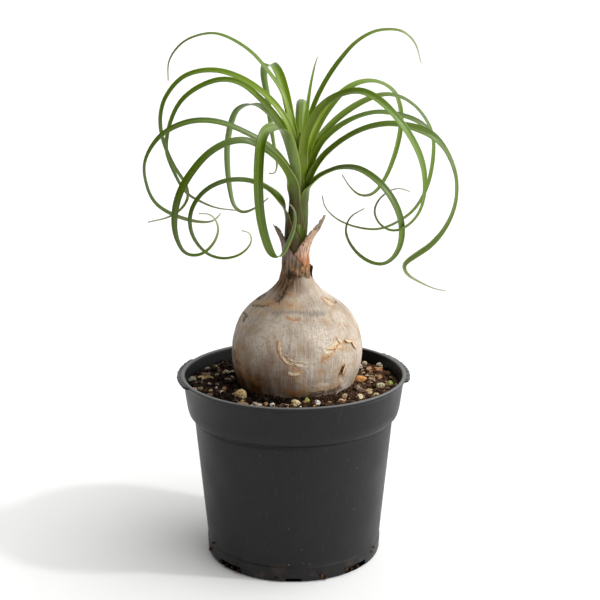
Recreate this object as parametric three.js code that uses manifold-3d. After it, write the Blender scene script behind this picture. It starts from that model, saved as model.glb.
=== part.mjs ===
// A ponytail palm in a plastic nursery pot: a swollen stem base (the caudex), dry husks round its neck,
// a green shoot and a fountain of narrow leaves. Millimetres, +Z up, the front of the plant towards -Y.
// The origin is the middle of the pot's underside, which stands flat on a table.
import * as THREE from 'three'
import { mergeVertices } from 'three/addons/utils/BufferGeometryUtils.js'
import Module from 'manifold-3d'

const wasm = await Module()
wasm.setup()

// Driving dimensions of the pot, a common 15 cm nursery pot.
const POT_HEIGHT = 124.6
const RIM_RADIUS = 75
const WALL = 1.5
const FOOT_RADIUS = 58.6
const BODY_TOP_RADIUS = 66.5
const COLLAR_FOOT = 96
const COLLAR_RADIUS = 71
const COLLAR_TOP_RADIUS = 73.4
const LEDGE_RADIUS = 78.5

// Driving dimensions of the plant.
const GAP = 0.3
const SOIL_LEVEL = 115.5
const NECK_TOP = 206
const SHOOT_TOP = 283
const BLADE_THICKNESS = 0.7

// The leaves' routes are given as they line up, from this viewpoint, with the upright plane through the pot.
const VIEWPOINT = new THREE.Vector3(4.3, -796, 377)

// Turns a number into the same scattered value from 0 to 1 each time.
const scatter = (n) => THREE.MathUtils.euclideanModulo(Math.sin(n * 12.9898) * 43758.5453, 1)
const degrees = THREE.MathUtils.degToRad

// Straight-line interpolation in a list of [place, value] pairs.
function between(pairs, place) {
  const next = pairs.findIndex(([at]) => at >= place)
  if (next === 0) return pairs[0][1]
  if (next < 0) return pairs.at(-1)[1]
  const [from, low] = pairs[next - 1]
  const [to, high] = pairs[next]
  return low + ((high - low) * (place - from)) / (to - from)
}

// A closed solid from a geometry, without collapsed triangles and with its faces pointing out.
function solid(geometry, hair = 1e-4) {
  geometry.deleteAttribute('normal')
  geometry.deleteAttribute('uv')
  const merged = mergeVertices(geometry, hair)
  const index = merged.index.array
  const triangles = []
  for (let i = 0; i < index.length; i += 3) {
    const [a, b, c] = index.subarray(i, i + 3)
    if (a !== b && b !== c && c !== a) triangles.push([a, b, c])
  }
  const build = (list) =>
    new wasm.Manifold(
      new wasm.Mesh({
        numProp: 3,
        vertProperties: merged.attributes.position.array,
        triVerts: new Uint32Array(list.flat()),
      }),
    )
  const made = build(triangles)
  return made.volume() > 0 ? made : build(triangles.map(([a, b, c]) => [a, c, b]))
}

// A solid's triangles as a geometry.
function skinOf(shape) {
  const { vertProperties, triVerts, numProp } = shape.getMesh()
  const geometry = new THREE.BufferGeometry()
  geometry.setAttribute('position', new THREE.BufferAttribute(new Float32Array(vertProperties), numProp))
  geometry.setIndex(new THREE.BufferAttribute(new Uint32Array(triVerts), 1))
  return geometry
}

// The biggest of the bodies that a cut leaves. Slivers are simplified away, and points within a few
// thousandths of each other are joined, which frees any scrap that hangs on by an edge.
function wholePiece(shape) {
  const bodies = solid(skinOf(shape.simplify(0.02)), 4e-3).decompose()
  return bodies.sort((a, b) => b.volume() - a.volume())[0]
}

// A closed skin over rings of points. Round rings close on themselves and get a fan at each end. Strip
// rings run along one face and back along the other, and their ends are closed straight across.
function loft(rings, kind) {
  const count = rings[0].length
  const positions = rings.flat().flatMap((p) => p.toArray())
  const index = []
  for (let r = 0; r < rings.length - 1; r++) {
    for (let i = 0; i < count; i++) {
      const a = r * count + i
      const b = r * count + ((i + 1) % count)
      index.push(a, b, b + count, a, b + count, a + count)
    }
  }
  for (const [r, flip] of [[0, true], [rings.length - 1, false]]) {
    const first = r * count
    const cap = []
    if (kind === 'round') {
      const middle = new THREE.Vector3()
      rings[r].forEach((p) => middle.addScaledVector(p, 1 / count))
      positions.push(...middle.toArray())
      const hub = positions.length / 3 - 1
      for (let i = 0; i < count; i++) cap.push([hub, first + i, first + ((i + 1) % count)])
    } else {
      for (let i = 0; i < count / 2 - 1; i++) {
        const [a, b] = [first + i, first + i + 1]
        const [c, d] = [first + count - 2 - i, first + count - 1 - i]
        cap.push([a, b, c], [a, c, d])
      }
    }
    for (const [a, b, c] of cap) index.push(...(flip ? [a, c, b] : [a, b, c]))
  }
  const geometry = new THREE.BufferGeometry()
  geometry.setAttribute('position', new THREE.Float32BufferAttribute(positions, 3))
  geometry.setIndex(index)
  return geometry
}

// A profile of [radius, height] points turned round the pot's axis.
function turned(profile, segments) {
  const lathe = new THREE.LatheGeometry(profile.map(([r, z]) => new THREE.Vector2(r, z)), segments)
  return solid(lathe.rotateX(Math.PI / 2))
}

const plant = new THREE.Group()

function addPiece(name, shape, finish) {
  const skin = skinOf(shape)
  skin.computeVertexNormals()
  const piece = new THREE.Mesh(skin, new THREE.MeshStandardMaterial(finish))
  piece.name = name
  plant.add(piece)
}

// The pot: a thin turned wall and floor, two ledges beside the lip, and notches through the foot.
const POT_SEGMENTS = 48

function potLedge(middle) {
  const half = 27
  const nubs = 9
  const steps = nubs * 4
  const outline = new THREE.Shape()
  for (let i = 0; i <= steps; i++) {
    const angle = degrees(middle - half + (2 * half * i) / steps)
    const ends = Math.min(1, Math.min(i, steps - i) / 3)
    const reach = RIM_RADIUS - 1 + (LEDGE_RADIUS - RIM_RADIUS + 1) * ends - (i % 4 === 0 ? 0.7 : 0) * ends
    outline[i ? 'lineTo' : 'moveTo'](reach * Math.cos(angle), reach * Math.sin(angle))
  }
  for (let i = 6; i >= 0; i--) {
    const angle = degrees(middle - half + (2 * half * i) / 6)
    outline.lineTo((RIM_RADIUS - 1.4) * Math.cos(angle), (RIM_RADIUS - 1.4) * Math.sin(angle))
  }
  const plate = new THREE.ExtrudeGeometry(outline, { depth: 1.6, bevelEnabled: false })
  return solid(plate.translate(0, 0, POT_HEIGHT - 2.2))
}

function drainNotch(angle, width, height) {
  const block = new THREE.BoxGeometry(16, width, height + 1)
  block.translate(FOOT_RADIUS - 1, 0, (height - 1) / 2)
  return solid(block.rotateZ(degrees(angle)))
}

function pot() {
  const outside = [
    [0, 0],
    [FOOT_RADIUS - 1.4, 0],
    [FOOT_RADIUS, 1.2],
    [FOOT_RADIUS, 3.2],
    [FOOT_RADIUS - 0.5, 4],
    [BODY_TOP_RADIUS, COLLAR_FOOT],
    [COLLAR_RADIUS, COLLAR_FOOT + 5],
    [COLLAR_TOP_RADIUS, POT_HEIGHT - 2.8],
    [RIM_RADIUS, POT_HEIGHT - 2],
    [RIM_RADIUS, POT_HEIGHT - 0.6],
    [RIM_RADIUS - 0.6, POT_HEIGHT],
  ]
  const inside = [
    [RIM_RADIUS - 2.1, POT_HEIGHT],
    [RIM_RADIUS - 2.7, POT_HEIGHT - 1],
    [COLLAR_RADIUS - WALL, COLLAR_FOOT + 5.4],
    [BODY_TOP_RADIUS - WALL, COLLAR_FOOT + 0.6],
    [FOOT_RADIUS - 0.5 - WALL, WALL + 1.5],
    [FOOT_RADIUS - 3, WALL],
    [0, WALL],
  ]
  let body = turned([...outside, ...inside], POT_SEGMENTS)
  for (const side of [11, 181]) body = body.add(potLedge(side))
  for (const corner of [45, 135, 225, 315]) body = body.subtract(drainNotch(corner, 20, 4))
  for (const side of [0, 90, 180, 270]) body = body.subtract(drainNotch(side, 11, 2))
  return body
}

addPiece('pot', wholePiece(pot()), { color: 0x37373a, roughness: 0.55, metalness: 0 })

// The caudex: a squat bulb drawn up into a neck, slightly out of round, with its foot in the soil.
const CAUDEX_X = 1.8
const CAUDEX_OUTLINE = [
  [86, 3], [90, 6], [95, 15], [105, 28], [112, 34.2], [116, 36.8], [120, 38.8], [126, 41.2], [132, 42.8],
  [139, 43.3], [145, 43], [150, 42], [155, 40.7], [160, 38.5], [165, 35.5], [170, 31], [174, 26],
  [178, 20], [182, 15.5], [186, 12], [188.5, 10.9], [188.9, 6.9], [196, 6.6], [NECK_TOP, 6.2],
]
const CAUDEX_SEGMENTS = 32

function caudexRing(height, radius) {
  const swollen = THREE.MathUtils.smoothstep(radius, 12, 40)
  const bare = THREE.MathUtils.smoothstep(height, SOIL_LEVEL + 2, SOIL_LEVEL + 10)
  const ring = []
  for (let i = 0; i < CAUDEX_SEGMENTS; i++) {
    const angle = (2 * Math.PI * i) / CAUDEX_SEGMENTS
    const lumps = 0.5 * Math.sin(3 * angle + height / 21) + 0.35 * Math.sin(5 * angle - height / 13)
    const reach = radius + lumps * swollen * bare
    ring.push(new THREE.Vector3(CAUDEX_X + reach * Math.cos(angle), reach * Math.sin(angle), height))
  }
  return ring
}

const caudex = solid(loft(CAUDEX_OUTLINE.map(([z, r]) => caudexRing(z, r)), 'round'))
addPiece('caudex', caudex, { color: 0xbfb2a2, roughness: 0.75, metalness: 0 })

// The soil: fills the pot with a plain hole for the caudex. Its top is rough, with grit standing in it.
const GRIT_COUNT = 40

// Stones that stand out: place, length, width, height and how far they turn.
const STONES = [
  { x: -34, y: -32, length: 8, width: 7.5, height: 6, turn: 10 },
  { x: -46, y: -38, length: 4.4, width: 4, height: 3.6, turn: 0 },
  { x: 2, y: -44, length: 7.5, width: 5, height: 4.5, turn: 15 },
  { x: 9, y: -42, length: 5.5, width: 4.5, height: 4, turn: 60 },
  { x: 45, y: 7, length: 10, width: 6, height: 4.6, turn: -20 },
  { x: 50, y: -14, length: 7, width: 5, height: 4.4, turn: 30 },
  { x: 58, y: 25, length: 6, width: 5, height: 4.2, turn: -40 },
  { x: 62, y: -2, length: 5.5, width: 4.5, height: 4, turn: 80 },
  { x: -58, y: -16, length: 6.5, width: 5, height: 4.2, turn: 35 },
]

function soilHeight(angle, radius) {
  const rough = 1.1 * Math.sin(7 * angle + radius / 4) + 0.8 * Math.sin(11 * angle - radius / 3)
  return SOIL_LEVEL + rough * THREE.MathUtils.smoothstep(70 - radius, 0, 5)
}

function grain({ x, y, length, width, height, turn }) {
  const stone = length > 7 ? new THREE.IcosahedronGeometry(0.5, 0) : new THREE.OctahedronGeometry(0.56, 0)
  stone.rotateX(turn / 20)
  stone.scale(length, width, height)
  stone.rotateZ(degrees(turn))
  const lift = soilHeight(Math.atan2(y, x), Math.hypot(x, y)) + height * 0.18
  return solid(stone.translate(x, y, lift))
}

function soil() {
  const sides = POT_SEGMENTS
  const topRadii = [70.6, 64, 57, 50, 43, 36]
  const wallRings = [[55, WALL + GAP + 0.2], [64.2, COLLAR_FOOT], [68.8, COLLAR_FOOT + 5.8]]
  const ringOf = (radius, height) =>
    Array.from({ length: sides }, (_, i) => {
      const angle = (2 * Math.PI * i) / sides
      const z = typeof height === 'number' ? height : soilHeight(angle, radius)
      return new THREE.Vector3(radius * Math.cos(angle), radius * Math.sin(angle), z)
    })
  const rings = wallRings.map(([radius, height]) => ringOf(radius, height))
  for (const radius of topRadii) rings.push(ringOf(radius))
  const grains = STONES.map(grain)
  for (let i = 0; i < GRIT_COUNT; i++) {
    const angle = 2 * Math.PI * scatter(i + 1)
    const radius = 43 + 24 * scatter(i + 201)
    const size = 2.6 + 3.4 * scatter(i + 401) ** 2
    grains.push(
      grain({
        x: radius * Math.cos(angle),
        y: radius * Math.sin(angle),
        length: size * 1.25,
        width: size,
        height: size * 0.85,
        turn: 360 * scatter(i + 601),
      }),
    )
  }
  const filled = wasm.Manifold.union([solid(loft(rings, 'round')), ...grains])
  const hole = CAUDEX_OUTLINE.filter(([z]) => z < 140).map(([z, r]) => caudexRing(z - GAP, r + GAP))
  return filled.subtract(solid(loft(hole, 'round')))
}

addPiece('soil', wholePiece(soil()), { color: 0x3a2c22, roughness: 0.95, metalness: 0 })

// The stem's axis leans a little to the right on its way up.
const stemX = (height) =>
  between([[190, 1.8], [206, 1.8], [220, 2.6], [235, 3.4], [245, 3.9], [262, 4.3], [284, 4.6]], height)

// The shoot: the tapering column of rolled young leaf bases that stands on the neck, inside the husks.
const SHOOT_OUTLINE = [
  [NECK_TOP + GAP, 6.4], [213, 6.9], [224, 6.9], [235, 6.2], [245, 5.3], [255, 4.3], [265, 3.2], [275, 2.1],
  [SHOOT_TOP, 0.9],
]

function shootRings(grow) {
  return SHOOT_OUTLINE.map(([height, radius]) =>
    Array.from({ length: 16 }, (_, i) => {
      const angle = (2 * Math.PI * i) / 16
      const reach = radius + grow
      return new THREE.Vector3(stemX(height) + reach * Math.cos(angle), reach * Math.sin(angle), height)
    }),
  )
}

addPiece('shoot', solid(loft(shootRings(0), 'round')), { color: 0x5d7a26, roughness: 0.5, metalness: 0 })

// A husk: a dry leaf base wrapped round the neck. Each row is height, inner radius, and the angles
// at which it starts and ends, counted from +X towards the back.
function husk(rows, thickness) {
  const columns = 12
  return loft(
    rows.map(([height, radius, from, to]) => {
      const face = (reach, backwards) =>
        Array.from({ length: columns + 1 }, (_, i) => {
          const share = (backwards ? columns - i : i) / columns
          const angle = degrees(from + (to - from) * share)
          return new THREE.Vector3(stemX(height) + reach * Math.cos(angle), reach * Math.sin(angle), height)
        })
      return [...face(radius, false), ...face(radius + thickness, true)]
    }),
    'strip',
  )
}

const HUSK_RIGHT = [
  [189.2, 7.2, -160, 150],
  [196, 7.1, -150, 130],
  [203, 7.0, -128, 95],
  [208, 7.8, -100, 60],
  [212, 9.2, -74, 38],
  [216, 11.2, -62, 20],
  [220, 13.2, -53, 4],
  [225, 15.7, -41, -12],
  [230, 18.6, -29, -22],
]
const HUSK_LEFT = [
  [189.2, 8.5, 100, 338],
  [194, 8.4, 110, 310],
  [198.5, 8.3, 120, 284],
  [204, 8.4, 135, 256],
  [209, 8.9, 150, 231],
  [214, 9.8, 165, 212],
  [219, 12, 176, 202],
  [223.6, 14.2, 184, 195],
]
const HUSK_STUB = [
  [189.2, 8.7, -14, 92],
  [194, 8.9, -10, 84],
  [198, 9.3, 2, 66],
]
addPiece('husk_right', solid(husk(HUSK_RIGHT, 0.9)), { color: 0xb98560, roughness: 0.85, metalness: 0 })
addPiece('husk_left', solid(husk(HUSK_LEFT, 1.1)), { color: 0x8a7564, roughness: 0.85, metalness: 0 })
addPiece('husk_stub', solid(husk(HUSK_STUB, 1.3)), { color: 0x4a3a2e, roughness: 0.9, metalness: 0 })

// The leaves. A route runs from the shoot to the tip. Its x and z are as they line up from the
// viewpoint with the plane y = 0, and its y is the true depth. Widths and turns are [share of the
// length, value] pairs: a turn of 0 shows the leaf's flat side to the front, 90 shows its edge.
// The leaves are listed from the innermost to the outermost.
const LEAVES = [
  {
    name: 'leaf_centre_spear',
    route: [[5, 0.5, 264], [5.5, 0, 277], [7.1, -1, 287.5], [8.7, -1.5, 296.6], [11.2, -2, 312.5],
      [14, -2, 326.4], [15.3, -2, 330.5]],
    width: [[0, 2.5], [0.3, 3.2], [0.6, 2], [1, 1]],
    turn: [[0, 10], [1, 30]],
  },
  {
    name: 'leaf_high_right_whip',
    route: [[5.8, 1.6, 262], [7.4, 3, 280], [10.2, 6, 291.4], [14.7, 10, 304.3], [21.6, 14, 317.6],
      [29.9, 18, 329.5], [39.4, 22, 339.9], [50.2, 25, 346.2], [60.1, 27, 347.7], [68.7, 29, 346.2],
      [76, 30, 339.6], [79.8, 30, 328.3]],
    width: [[0, 3.4], [0.2, 4.2], [0.5, 2.8], [0.8, 1.6], [1, 1]],
    turn: [[0, -20], [0.3, -49], [1, -59]],
  },
  {
    name: 'leaf_high_left_whip',
    route: [[3.2, 1.4, 262], [1, 3.5, 280], [-2.9, 8, 296], [-7.7, 13, 310.3], [-15.3, 17, 321.4],
      [-27, 21, 334.5], [-43.5, 25, 344], [-52.7, 26, 345.3], [-68.2, 27, 340.2], [-77.8, 29, 328.3],
      [-77.3, 29, 317.6]],
    width: [[0, 3.4], [0.2, 4.2], [0.4, 3], [0.6, 1.8], [1, 1]],
    turn: [[0, 30], [0.3, 54], [1, 62]],
  },
  {
    name: 'leaf_tall_fold',
    route: [[3.4, 2.2, 258], [1.9, 4, 281], [0, 7, 291], [-3.7, 13, 307], [-8, 20, 320.5],
      [-11.2, 26, 325.7], [-14.6, 35, 326.5], [-17.6, 44, 325], [-18.2, 51, 318], [-16.2, 55, 306.6],
      [-14, 57, 287], [-11.5, 57, 271], [-10.3, 55, 262.5], [-12.2, 52, 256.8], [-15.5, 51, 257.5]],
    width: [[0, 4], [0.2, 5.4], [0.45, 5], [0.7, 3.4], [0.9, 1.6], [1, 1]],
    turn: [[0, 5], [0.36, 20], [0.43, 90], [0.5, 160], [1, 170]],
  },
  {
    name: 'leaf_left_outer_arch',
    route: [[1.9, -0.4, 258], [0.4, 1, 281], [-4, 2.5, 294], [-10.2, 4, 299.8], [-17.8, 7, 306.8],
      [-32, 12, 316.3], [-47.3, 16, 321.3], [-60, 18, 320.5], [-70, 20, 316.2], [-80.7, 21, 303.6],
      [-83.7, 21, 290.7], [-81.8, 20, 277.1], [-75.6, 18, 262.2], [-68.6, 17, 250], [-67.4, 17, 242.5],
      [-71.5, 16, 235], [-80.4, 16, 229], [-94.2, 16, 225.6]],
    width: [[0, 4], [0.15, 5], [0.4, 4], [0.65, 2.6], [1, 1]],
    turn: [[0, 30], [0.3, 54], [1, 64]],
  },
  {
    name: 'leaf_right_front_curl',
    route: [[6.2, -2.6, 252], [6.5, -4.5, 270], [8.2, -8, 283], [13.4, -14, 295.3], [22, -23, 303.5],
      [32, -32, 307.9], [42.9, -40, 308.9], [54, -47, 303], [64.5, -51, 292.7], [73.8, -53, 281],
      [81.9, -55, 266.1], [84.7, -55, 250], [81.5, -53, 233], [73.1, -52, 222.9], [64.3, -51, 220.1],
      [56.8, -49, 224.1], [52.7, -48, 232.3], [55, -47, 240.2], [62.6, -46, 246.2], [68.2, -45, 247.5], [74.5, -44, 245.8]],
    width: [[0, 4], [0.1, 6], [0.3, 5], [0.55, 3.4], [0.8, 1.8], [1, 1]],
    turn: [[0, 0], [0.12, -20], [0.3, -54], [1, -64]],
  },
  {
    name: 'leaf_right_pale_arch',
    route: [[6.4, 2.6, 256], [8.5, 6, 274], [13, 12, 286], [19.2, 20, 296.6], [31.4, 31, 309.3],
      [42.9, 42, 314.8], [53.8, 49, 314.5], [62.9, 55, 309], [67.2, 58, 299.5], [68.1, 60, 287],
      [65, 60, 270.6], [58.5, 58, 253.3], [50.5, 56, 244], [43.2, 55, 243.2], [36.5, 53, 248.9],
      [32, 52, 255.6]],
    width: [[0, 4], [0.15, 5.6], [0.4, 4.6], [0.7, 3], [0.9, 1.5], [1, 1]],
    turn: [[0, -10], [0.3, -54], [1, -62]],
  },
  {
    name: 'leaf_left_inner_arch',
    route: [[1.6, 1.8, 252], [0, 3.5, 272], [-4.5, 7, 284], [-9.6, 12, 291.4], [-20.4, 18, 304.2],
      [-33.2, 25, 314.4], [-44.6, 30, 316.5], [-57.5, 34, 312.5], [-69.2, 36, 304.3], [-76.5, 38, 292],
      [-80.3, 39, 273.2], [-76.5, 38, 259.5], [-68.8, 36, 244.9], [-59.9, 36, 239.2], [-50, 35, 235],
      [-37, 34, 233.4]],
    width: [[0, 4], [0.15, 5.4], [0.4, 4.4], [0.7, 2.6], [1, 1]],
    turn: [[0, 25], [0.3, 54], [1, 64]],
  },
  {
    name: 'leaf_back_bend',
    route: [[4.2, 3, 256], [4.2, 7, 274], [4.6, 16, 287], [5.1, 26, 297], [5.5, 36, 303], [5.8, 49, 304.5],
      [6, 62, 301], [6.4, 73, 292], [7.2, 78, 277], [8.5, 78, 257], [10, 74, 242], [12.6, 70, 234.6],
      [17.5, 68, 232.9]],
    width: [[0, 4], [0.2, 6.2], [0.45, 5.4], [0.75, 3], [1, 1]],
    turn: [[0, 5], [0.22, 20], [0.38, 90], [0.5, 160], [1, 150]],
  },
  {
    name: 'leaf_left_back_drop',
    route: [[2, 2.6, 248], [0.4, 4.5, 266], [-4, 12, 280.5], [-8, 18, 287.5], [-13.5, 27, 294.3],
      [-19.2, 36, 299.2], [-25, 46, 301.5], [-31, 53, 300.5], [-36, 58, 297], [-39.7, 62, 288.8],
      [-42.1, 65, 275.2], [-41.9, 66, 260.9], [-40.3, 66, 245.5], [-38, 65, 236.4], [-33, 62, 232.2],
      [-24, 61, 235.5], [-16.5, 60, 241]],
    width: [[0, 4], [0.15, 5], [0.4, 4.2], [0.75, 3.2], [0.9, 1.8], [1, 1]],
    turn: [[0, 20], [0.3, 49], [0.42, 90], [0.52, 135], [1, 140]],
  },
  {
    name: 'leaf_front_strap',
    route: [[2, -2.8, 246], [0.8, -6, 260], [-0.5, -10, 272.8], [-2.1, -17, 281], [-5, -26, 286],
      [-9.5, -38, 288.2], [-14.2, -49, 287.8], [-18.2, -58, 284.5], [-20.4, -64, 276], [-21.5, -66, 263.8],
      [-22, -68, 247], [-20.8, -66, 230], [-18.2, -62, 216], [-15, -58, 206.4], [-12.2, -56, 202.8],
      [-9.4, -53, 204], [-7, -51, 208.6], [-4.2, -48, 215], [-1, -46, 223.5], [0.9, -43, 232],
      [-0.6, -42, 237], [-2.3, -40, 239.6]],
    width: [[0, 4], [0.1, 6], [0.4, 5.2], [0.72, 4.6], [0.85, 3], [1, 1]],
    turn: [[0, 0], [0.18, -15], [0.28, -90], [0.36, -165], [0.7, -178], [0.79, -110], [0.86, -64], [1, -54]],
  },
  {
    name: 'leaf_right_back_arch',
    route: [[7, 2.2, 246], [8.8, 3.6, 261], [11.2, 6, 271], [14.2, 10, 277.8], [20.6, 16, 285],
      [33.4, 25, 296.3], [46.2, 32, 303.9], [59, 38, 307.1], [70.6, 42, 303.9], [80.5, 44, 295.6],
      [87.7, 46, 283.6], [89.3, 46, 270.6], [85.6, 46, 248.9], [78.7, 44, 235.7], [70.8, 43, 228.2],
      [56.8, 42, 221.4], [45.7, 40, 221.4], [33, 39, 224.8], [24.8, 38, 230.1], [20.3, 36, 236.8],
      [20.1, 36, 240.6]],
    width: [[0, 3.6], [0.1, 5], [0.3, 4.4], [0.6, 3.4], [0.85, 1.8], [1, 1]],
    turn: [[0, -20], [0.2, -54], [0.45, -62], [0.62, -40], [1, -62]],
  },
  {
    name: 'leaf_right_long_arch',
    route: [[7.2, 0.4, 242], [9, 1, 256], [12, 2, 267], [18, 4, 279], [26.4, 7, 286.6], [39.2, 10, 293.9],
      [52.6, 13, 296.4], [66.1, 16, 294.5], [78.4, 17, 290.5], [84.2, 17, 287.2], [91.5, 17, 279],
      [96.5, 16, 271], [99.5, 16, 262], [101.5, 14, 254]],
    width: [[0, 3.6], [0.1, 5], [0.4, 4.2], [0.7, 2.6], [1, 1]],
    turn: [[0, -30], [0.3, -56], [1, -64]],
  },
  {
    name: 'leaf_right_far_fold',
    route: [[7.8, -1.8, 236], [8.4, -3, 247], [10.2, -3.6, 257.4], [14.2, -4, 264.1], [19.3, -6, 270.6],
      [32.9, -8, 280.6], [47, -10, 286.8], [61.2, -12, 288.6], [74.2, -12, 286.9], [86.8, -12, 282.6],
      [96.2, -12, 274], [102.9, -12, 262.1], [105.4, -10, 250.4], [104.2, -10, 236.8], [98.4, -8, 223.3],
      [89, -7, 211.2], [76.5, -6, 202.5], [72, -4.6, 197.5], [73.8, -4, 191.8], [82.1, -3, 186.3],
      [92.7, -2, 181.3], [98.4, -2, 180.5]],
    width: [[0, 3.6], [0.08, 5], [0.25, 4.8], [0.44, 5.2], [0.7, 4], [0.85, 2], [1, 1]],
    turn: [[0, -30], [0.25, -60], [0.36, -56], [0.44, -15], [0.52, -59], [0.62, -62], [0.74, -35],
      [0.85, -65], [1, -64]],
  },
  {
    name: 'leaf_left_wide_arch',
    route: [[-0.4, -1.2, 236], [-1.2, -2, 248], [-3.4, -3, 261], [-8.6, -4, 268.6], [-15, -6, 275],
      [-29.5, -10, 283], [-47.9, -14, 290.1], [-65.9, -17, 290], [-83.8, -18, 281], [-94, -18, 266],
      [-94.9, -17, 254.7], [-90, -16, 239.2], [-79.6, -14, 231.4], [-61.4, -13, 225.9],
      [-51, -12, 227], [-47.3, -12, 231.4]],
    width: [[0, 3.6], [0.1, 5.4], [0.4, 4.6], [0.7, 3], [0.95, 1.3], [1, 1]],
    turn: [[0, 49], [0.3, 62], [1, 66]],
  },
  {
    name: 'leaf_left_front_spiral',
    route: [[4.4, -4.6, 228], [4.9, -7, 239], [4, -9, 248.5], [-1.5, -14, 261.5], [-6.8, -17, 268],
      [-16.5, -22, 274.3], [-28.8, -29, 278.6], [-40.5, -34, 277.3], [-53.5, -39, 270.3],
      [-64.1, -43, 258.9], [-72.3, -46, 245.6], [-76.5, -46, 231.4], [-76.5, -46, 217.2],
      [-70.4, -46, 205.2], [-60.5, -44, 204.6], [-51.9, -43, 212.2], [-48.8, -42, 222.5],
      [-53.6, -40, 230.4], [-60.3, -40, 231]],
    width: [[0, 4], [0.1, 6.6], [0.3, 6], [0.55, 4.6], [0.8, 2.2], [1, 1]],
    turn: [[0, 0], [0.15, 30], [0.4, 52], [1, 62]],
  },
  {
    name: 'leaf_left_low_spiral',
    route: [[-2.6, -1.6, 222], [-3.8, -2.2, 230.5], [-6.6, -4, 237.8], [-14.8, -10, 247.1],
      [-24.5, -16, 251.9], [-35.5, -21, 253.4], [-46.6, -25, 251], [-57.3, -27, 243.8],
      [-64.8, -29, 233.5], [-66.5, -29, 222.9], [-63.2, -27, 212.2], [-54.9, -26, 203.9],
      [-44.4, -25, 201.6], [-33.8, -23, 205.3], [-27.8, -22, 213], [-29, -22, 218.8], [-33.1, -22, 219.7]],
    width: [[0, 4], [0.1, 5.4], [0.35, 4.6], [0.65, 3], [0.9, 1.4], [1, 1]],
    turn: [[0, 49], [0.3, 56], [1, 64]],
  },
  {
    name: 'leaf_right_low_loop',
    route: [[6.4, -4, 224], [7.8, -6, 236], [9.2, -7, 246.2], [14.3, -13, 254.7], [21.2, -21, 258.2],
      [30.5, -30, 260.2], [41.6, -39, 259.2], [52.8, -46, 251.8], [62.4, -49, 241.4], [69, -51, 227.8],
      [70.1, -51, 214.2], [66, -49, 203.6], [58.7, -48, 198.3], [49.7, -47, 199.8], [39.8, -46, 207.8],
      [34.3, -44, 219.5], [36.7, -43, 228.6], [45.1, -42, 234.2]],
    width: [[0, 4], [0.1, 6.4], [0.3, 5.4], [0.6, 3.2], [1, 1.1]],
    turn: [[0, 0], [0.12, -20], [0.3, -54], [1, -64]],
  },
]

// Where a place seen on the plane y = 0 really is, when it lies at the given depth.
function atDepth([x, depth, z]) {
  const scale = (depth - VIEWPOINT.y) / -VIEWPOINT.y
  return new THREE.Vector3(
    VIEWPOINT.x + (x - VIEWPOINT.x) * scale,
    depth,
    VIEWPOINT.z + (z - VIEWPOINT.z) * scale,
  )
}

// A leaf is a strap swept along its route, shallowly folded along its middle like a gutter.
function leafRings({ route, width, turn }, grow) {
  const curve = new THREE.CatmullRomCurve3(route.map(atDepth), false, 'centripetal')
  const stations = 2 * (route.length - 1)
  const lengths = curve.getLengths(stations)
  const rings = []
  for (let i = 0; i <= stations; i++) {
    const share = lengths[i] / lengths[stations]
    const middle = curve.getPoint(i / stations)
    const along = curve.getTangent(i / stations)
    const towardsFront = VIEWPOINT.clone().sub(middle)
    towardsFront.addScaledVector(along, -towardsFront.dot(along)).normalize()
    const upright = towardsFront.clone().cross(along)
    const angle = degrees(between(turn, share))
    const across = upright.multiplyScalar(Math.cos(angle)).addScaledVector(towardsFront, Math.sin(angle))
    const facing = along.clone().cross(across).normalize()
    const half = between(width, share) / 2 + grow
    const fold = half * 0.16
    const thick = BLADE_THICKNESS / 2 + grow
    const place = (side, lift) =>
      middle.clone().addScaledVector(across, side * half).addScaledVector(facing, lift)
    rings.push([
      place(-1, fold + thick * 0.8), place(0, thick - fold), place(1, fold + thick * 0.8),
      place(1, fold - thick * 0.8), place(0, -thick - fold), place(-1, fold - thick * 0.8),
    ])
  }
  return rings
}

// Each blade is cut clear of the shoot and of the leaves inside it, which its base closes round.
let taken = solid(loft(shootRings(GAP), 'round'))
LEAVES.forEach((leaf, order) => {
  const blade = wholePiece(solid(loft(leafRings(leaf, 0), 'strip')).subtract(taken))
  addPiece(leaf.name, blade, {
    color: new THREE.Color(0x4f7020).lerp(new THREE.Color(0x83a02c), scatter(order + 31)),
    roughness: 0.45,
    metalness: 0,
  })
  taken = taken.add(solid(loft(leafRings(leaf, GAP), 'strip')))
})

export default plant
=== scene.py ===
import math

import bmesh
import bpy
import numpy as np
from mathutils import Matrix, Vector, noise


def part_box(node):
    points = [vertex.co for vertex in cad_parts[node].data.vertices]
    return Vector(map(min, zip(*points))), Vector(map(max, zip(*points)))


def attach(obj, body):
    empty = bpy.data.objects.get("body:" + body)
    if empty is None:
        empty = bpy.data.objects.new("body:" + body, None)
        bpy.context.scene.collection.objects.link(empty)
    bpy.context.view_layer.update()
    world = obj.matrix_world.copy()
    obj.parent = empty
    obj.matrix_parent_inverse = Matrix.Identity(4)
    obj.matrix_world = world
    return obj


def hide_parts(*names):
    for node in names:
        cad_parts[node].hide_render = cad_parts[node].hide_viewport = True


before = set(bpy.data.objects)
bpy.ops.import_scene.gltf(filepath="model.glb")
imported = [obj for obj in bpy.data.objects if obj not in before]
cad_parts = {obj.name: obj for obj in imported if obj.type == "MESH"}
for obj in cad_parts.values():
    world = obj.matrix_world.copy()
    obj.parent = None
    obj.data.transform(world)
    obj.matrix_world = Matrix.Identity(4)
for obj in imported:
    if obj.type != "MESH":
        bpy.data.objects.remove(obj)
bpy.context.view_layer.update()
MM = 0.001

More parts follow.
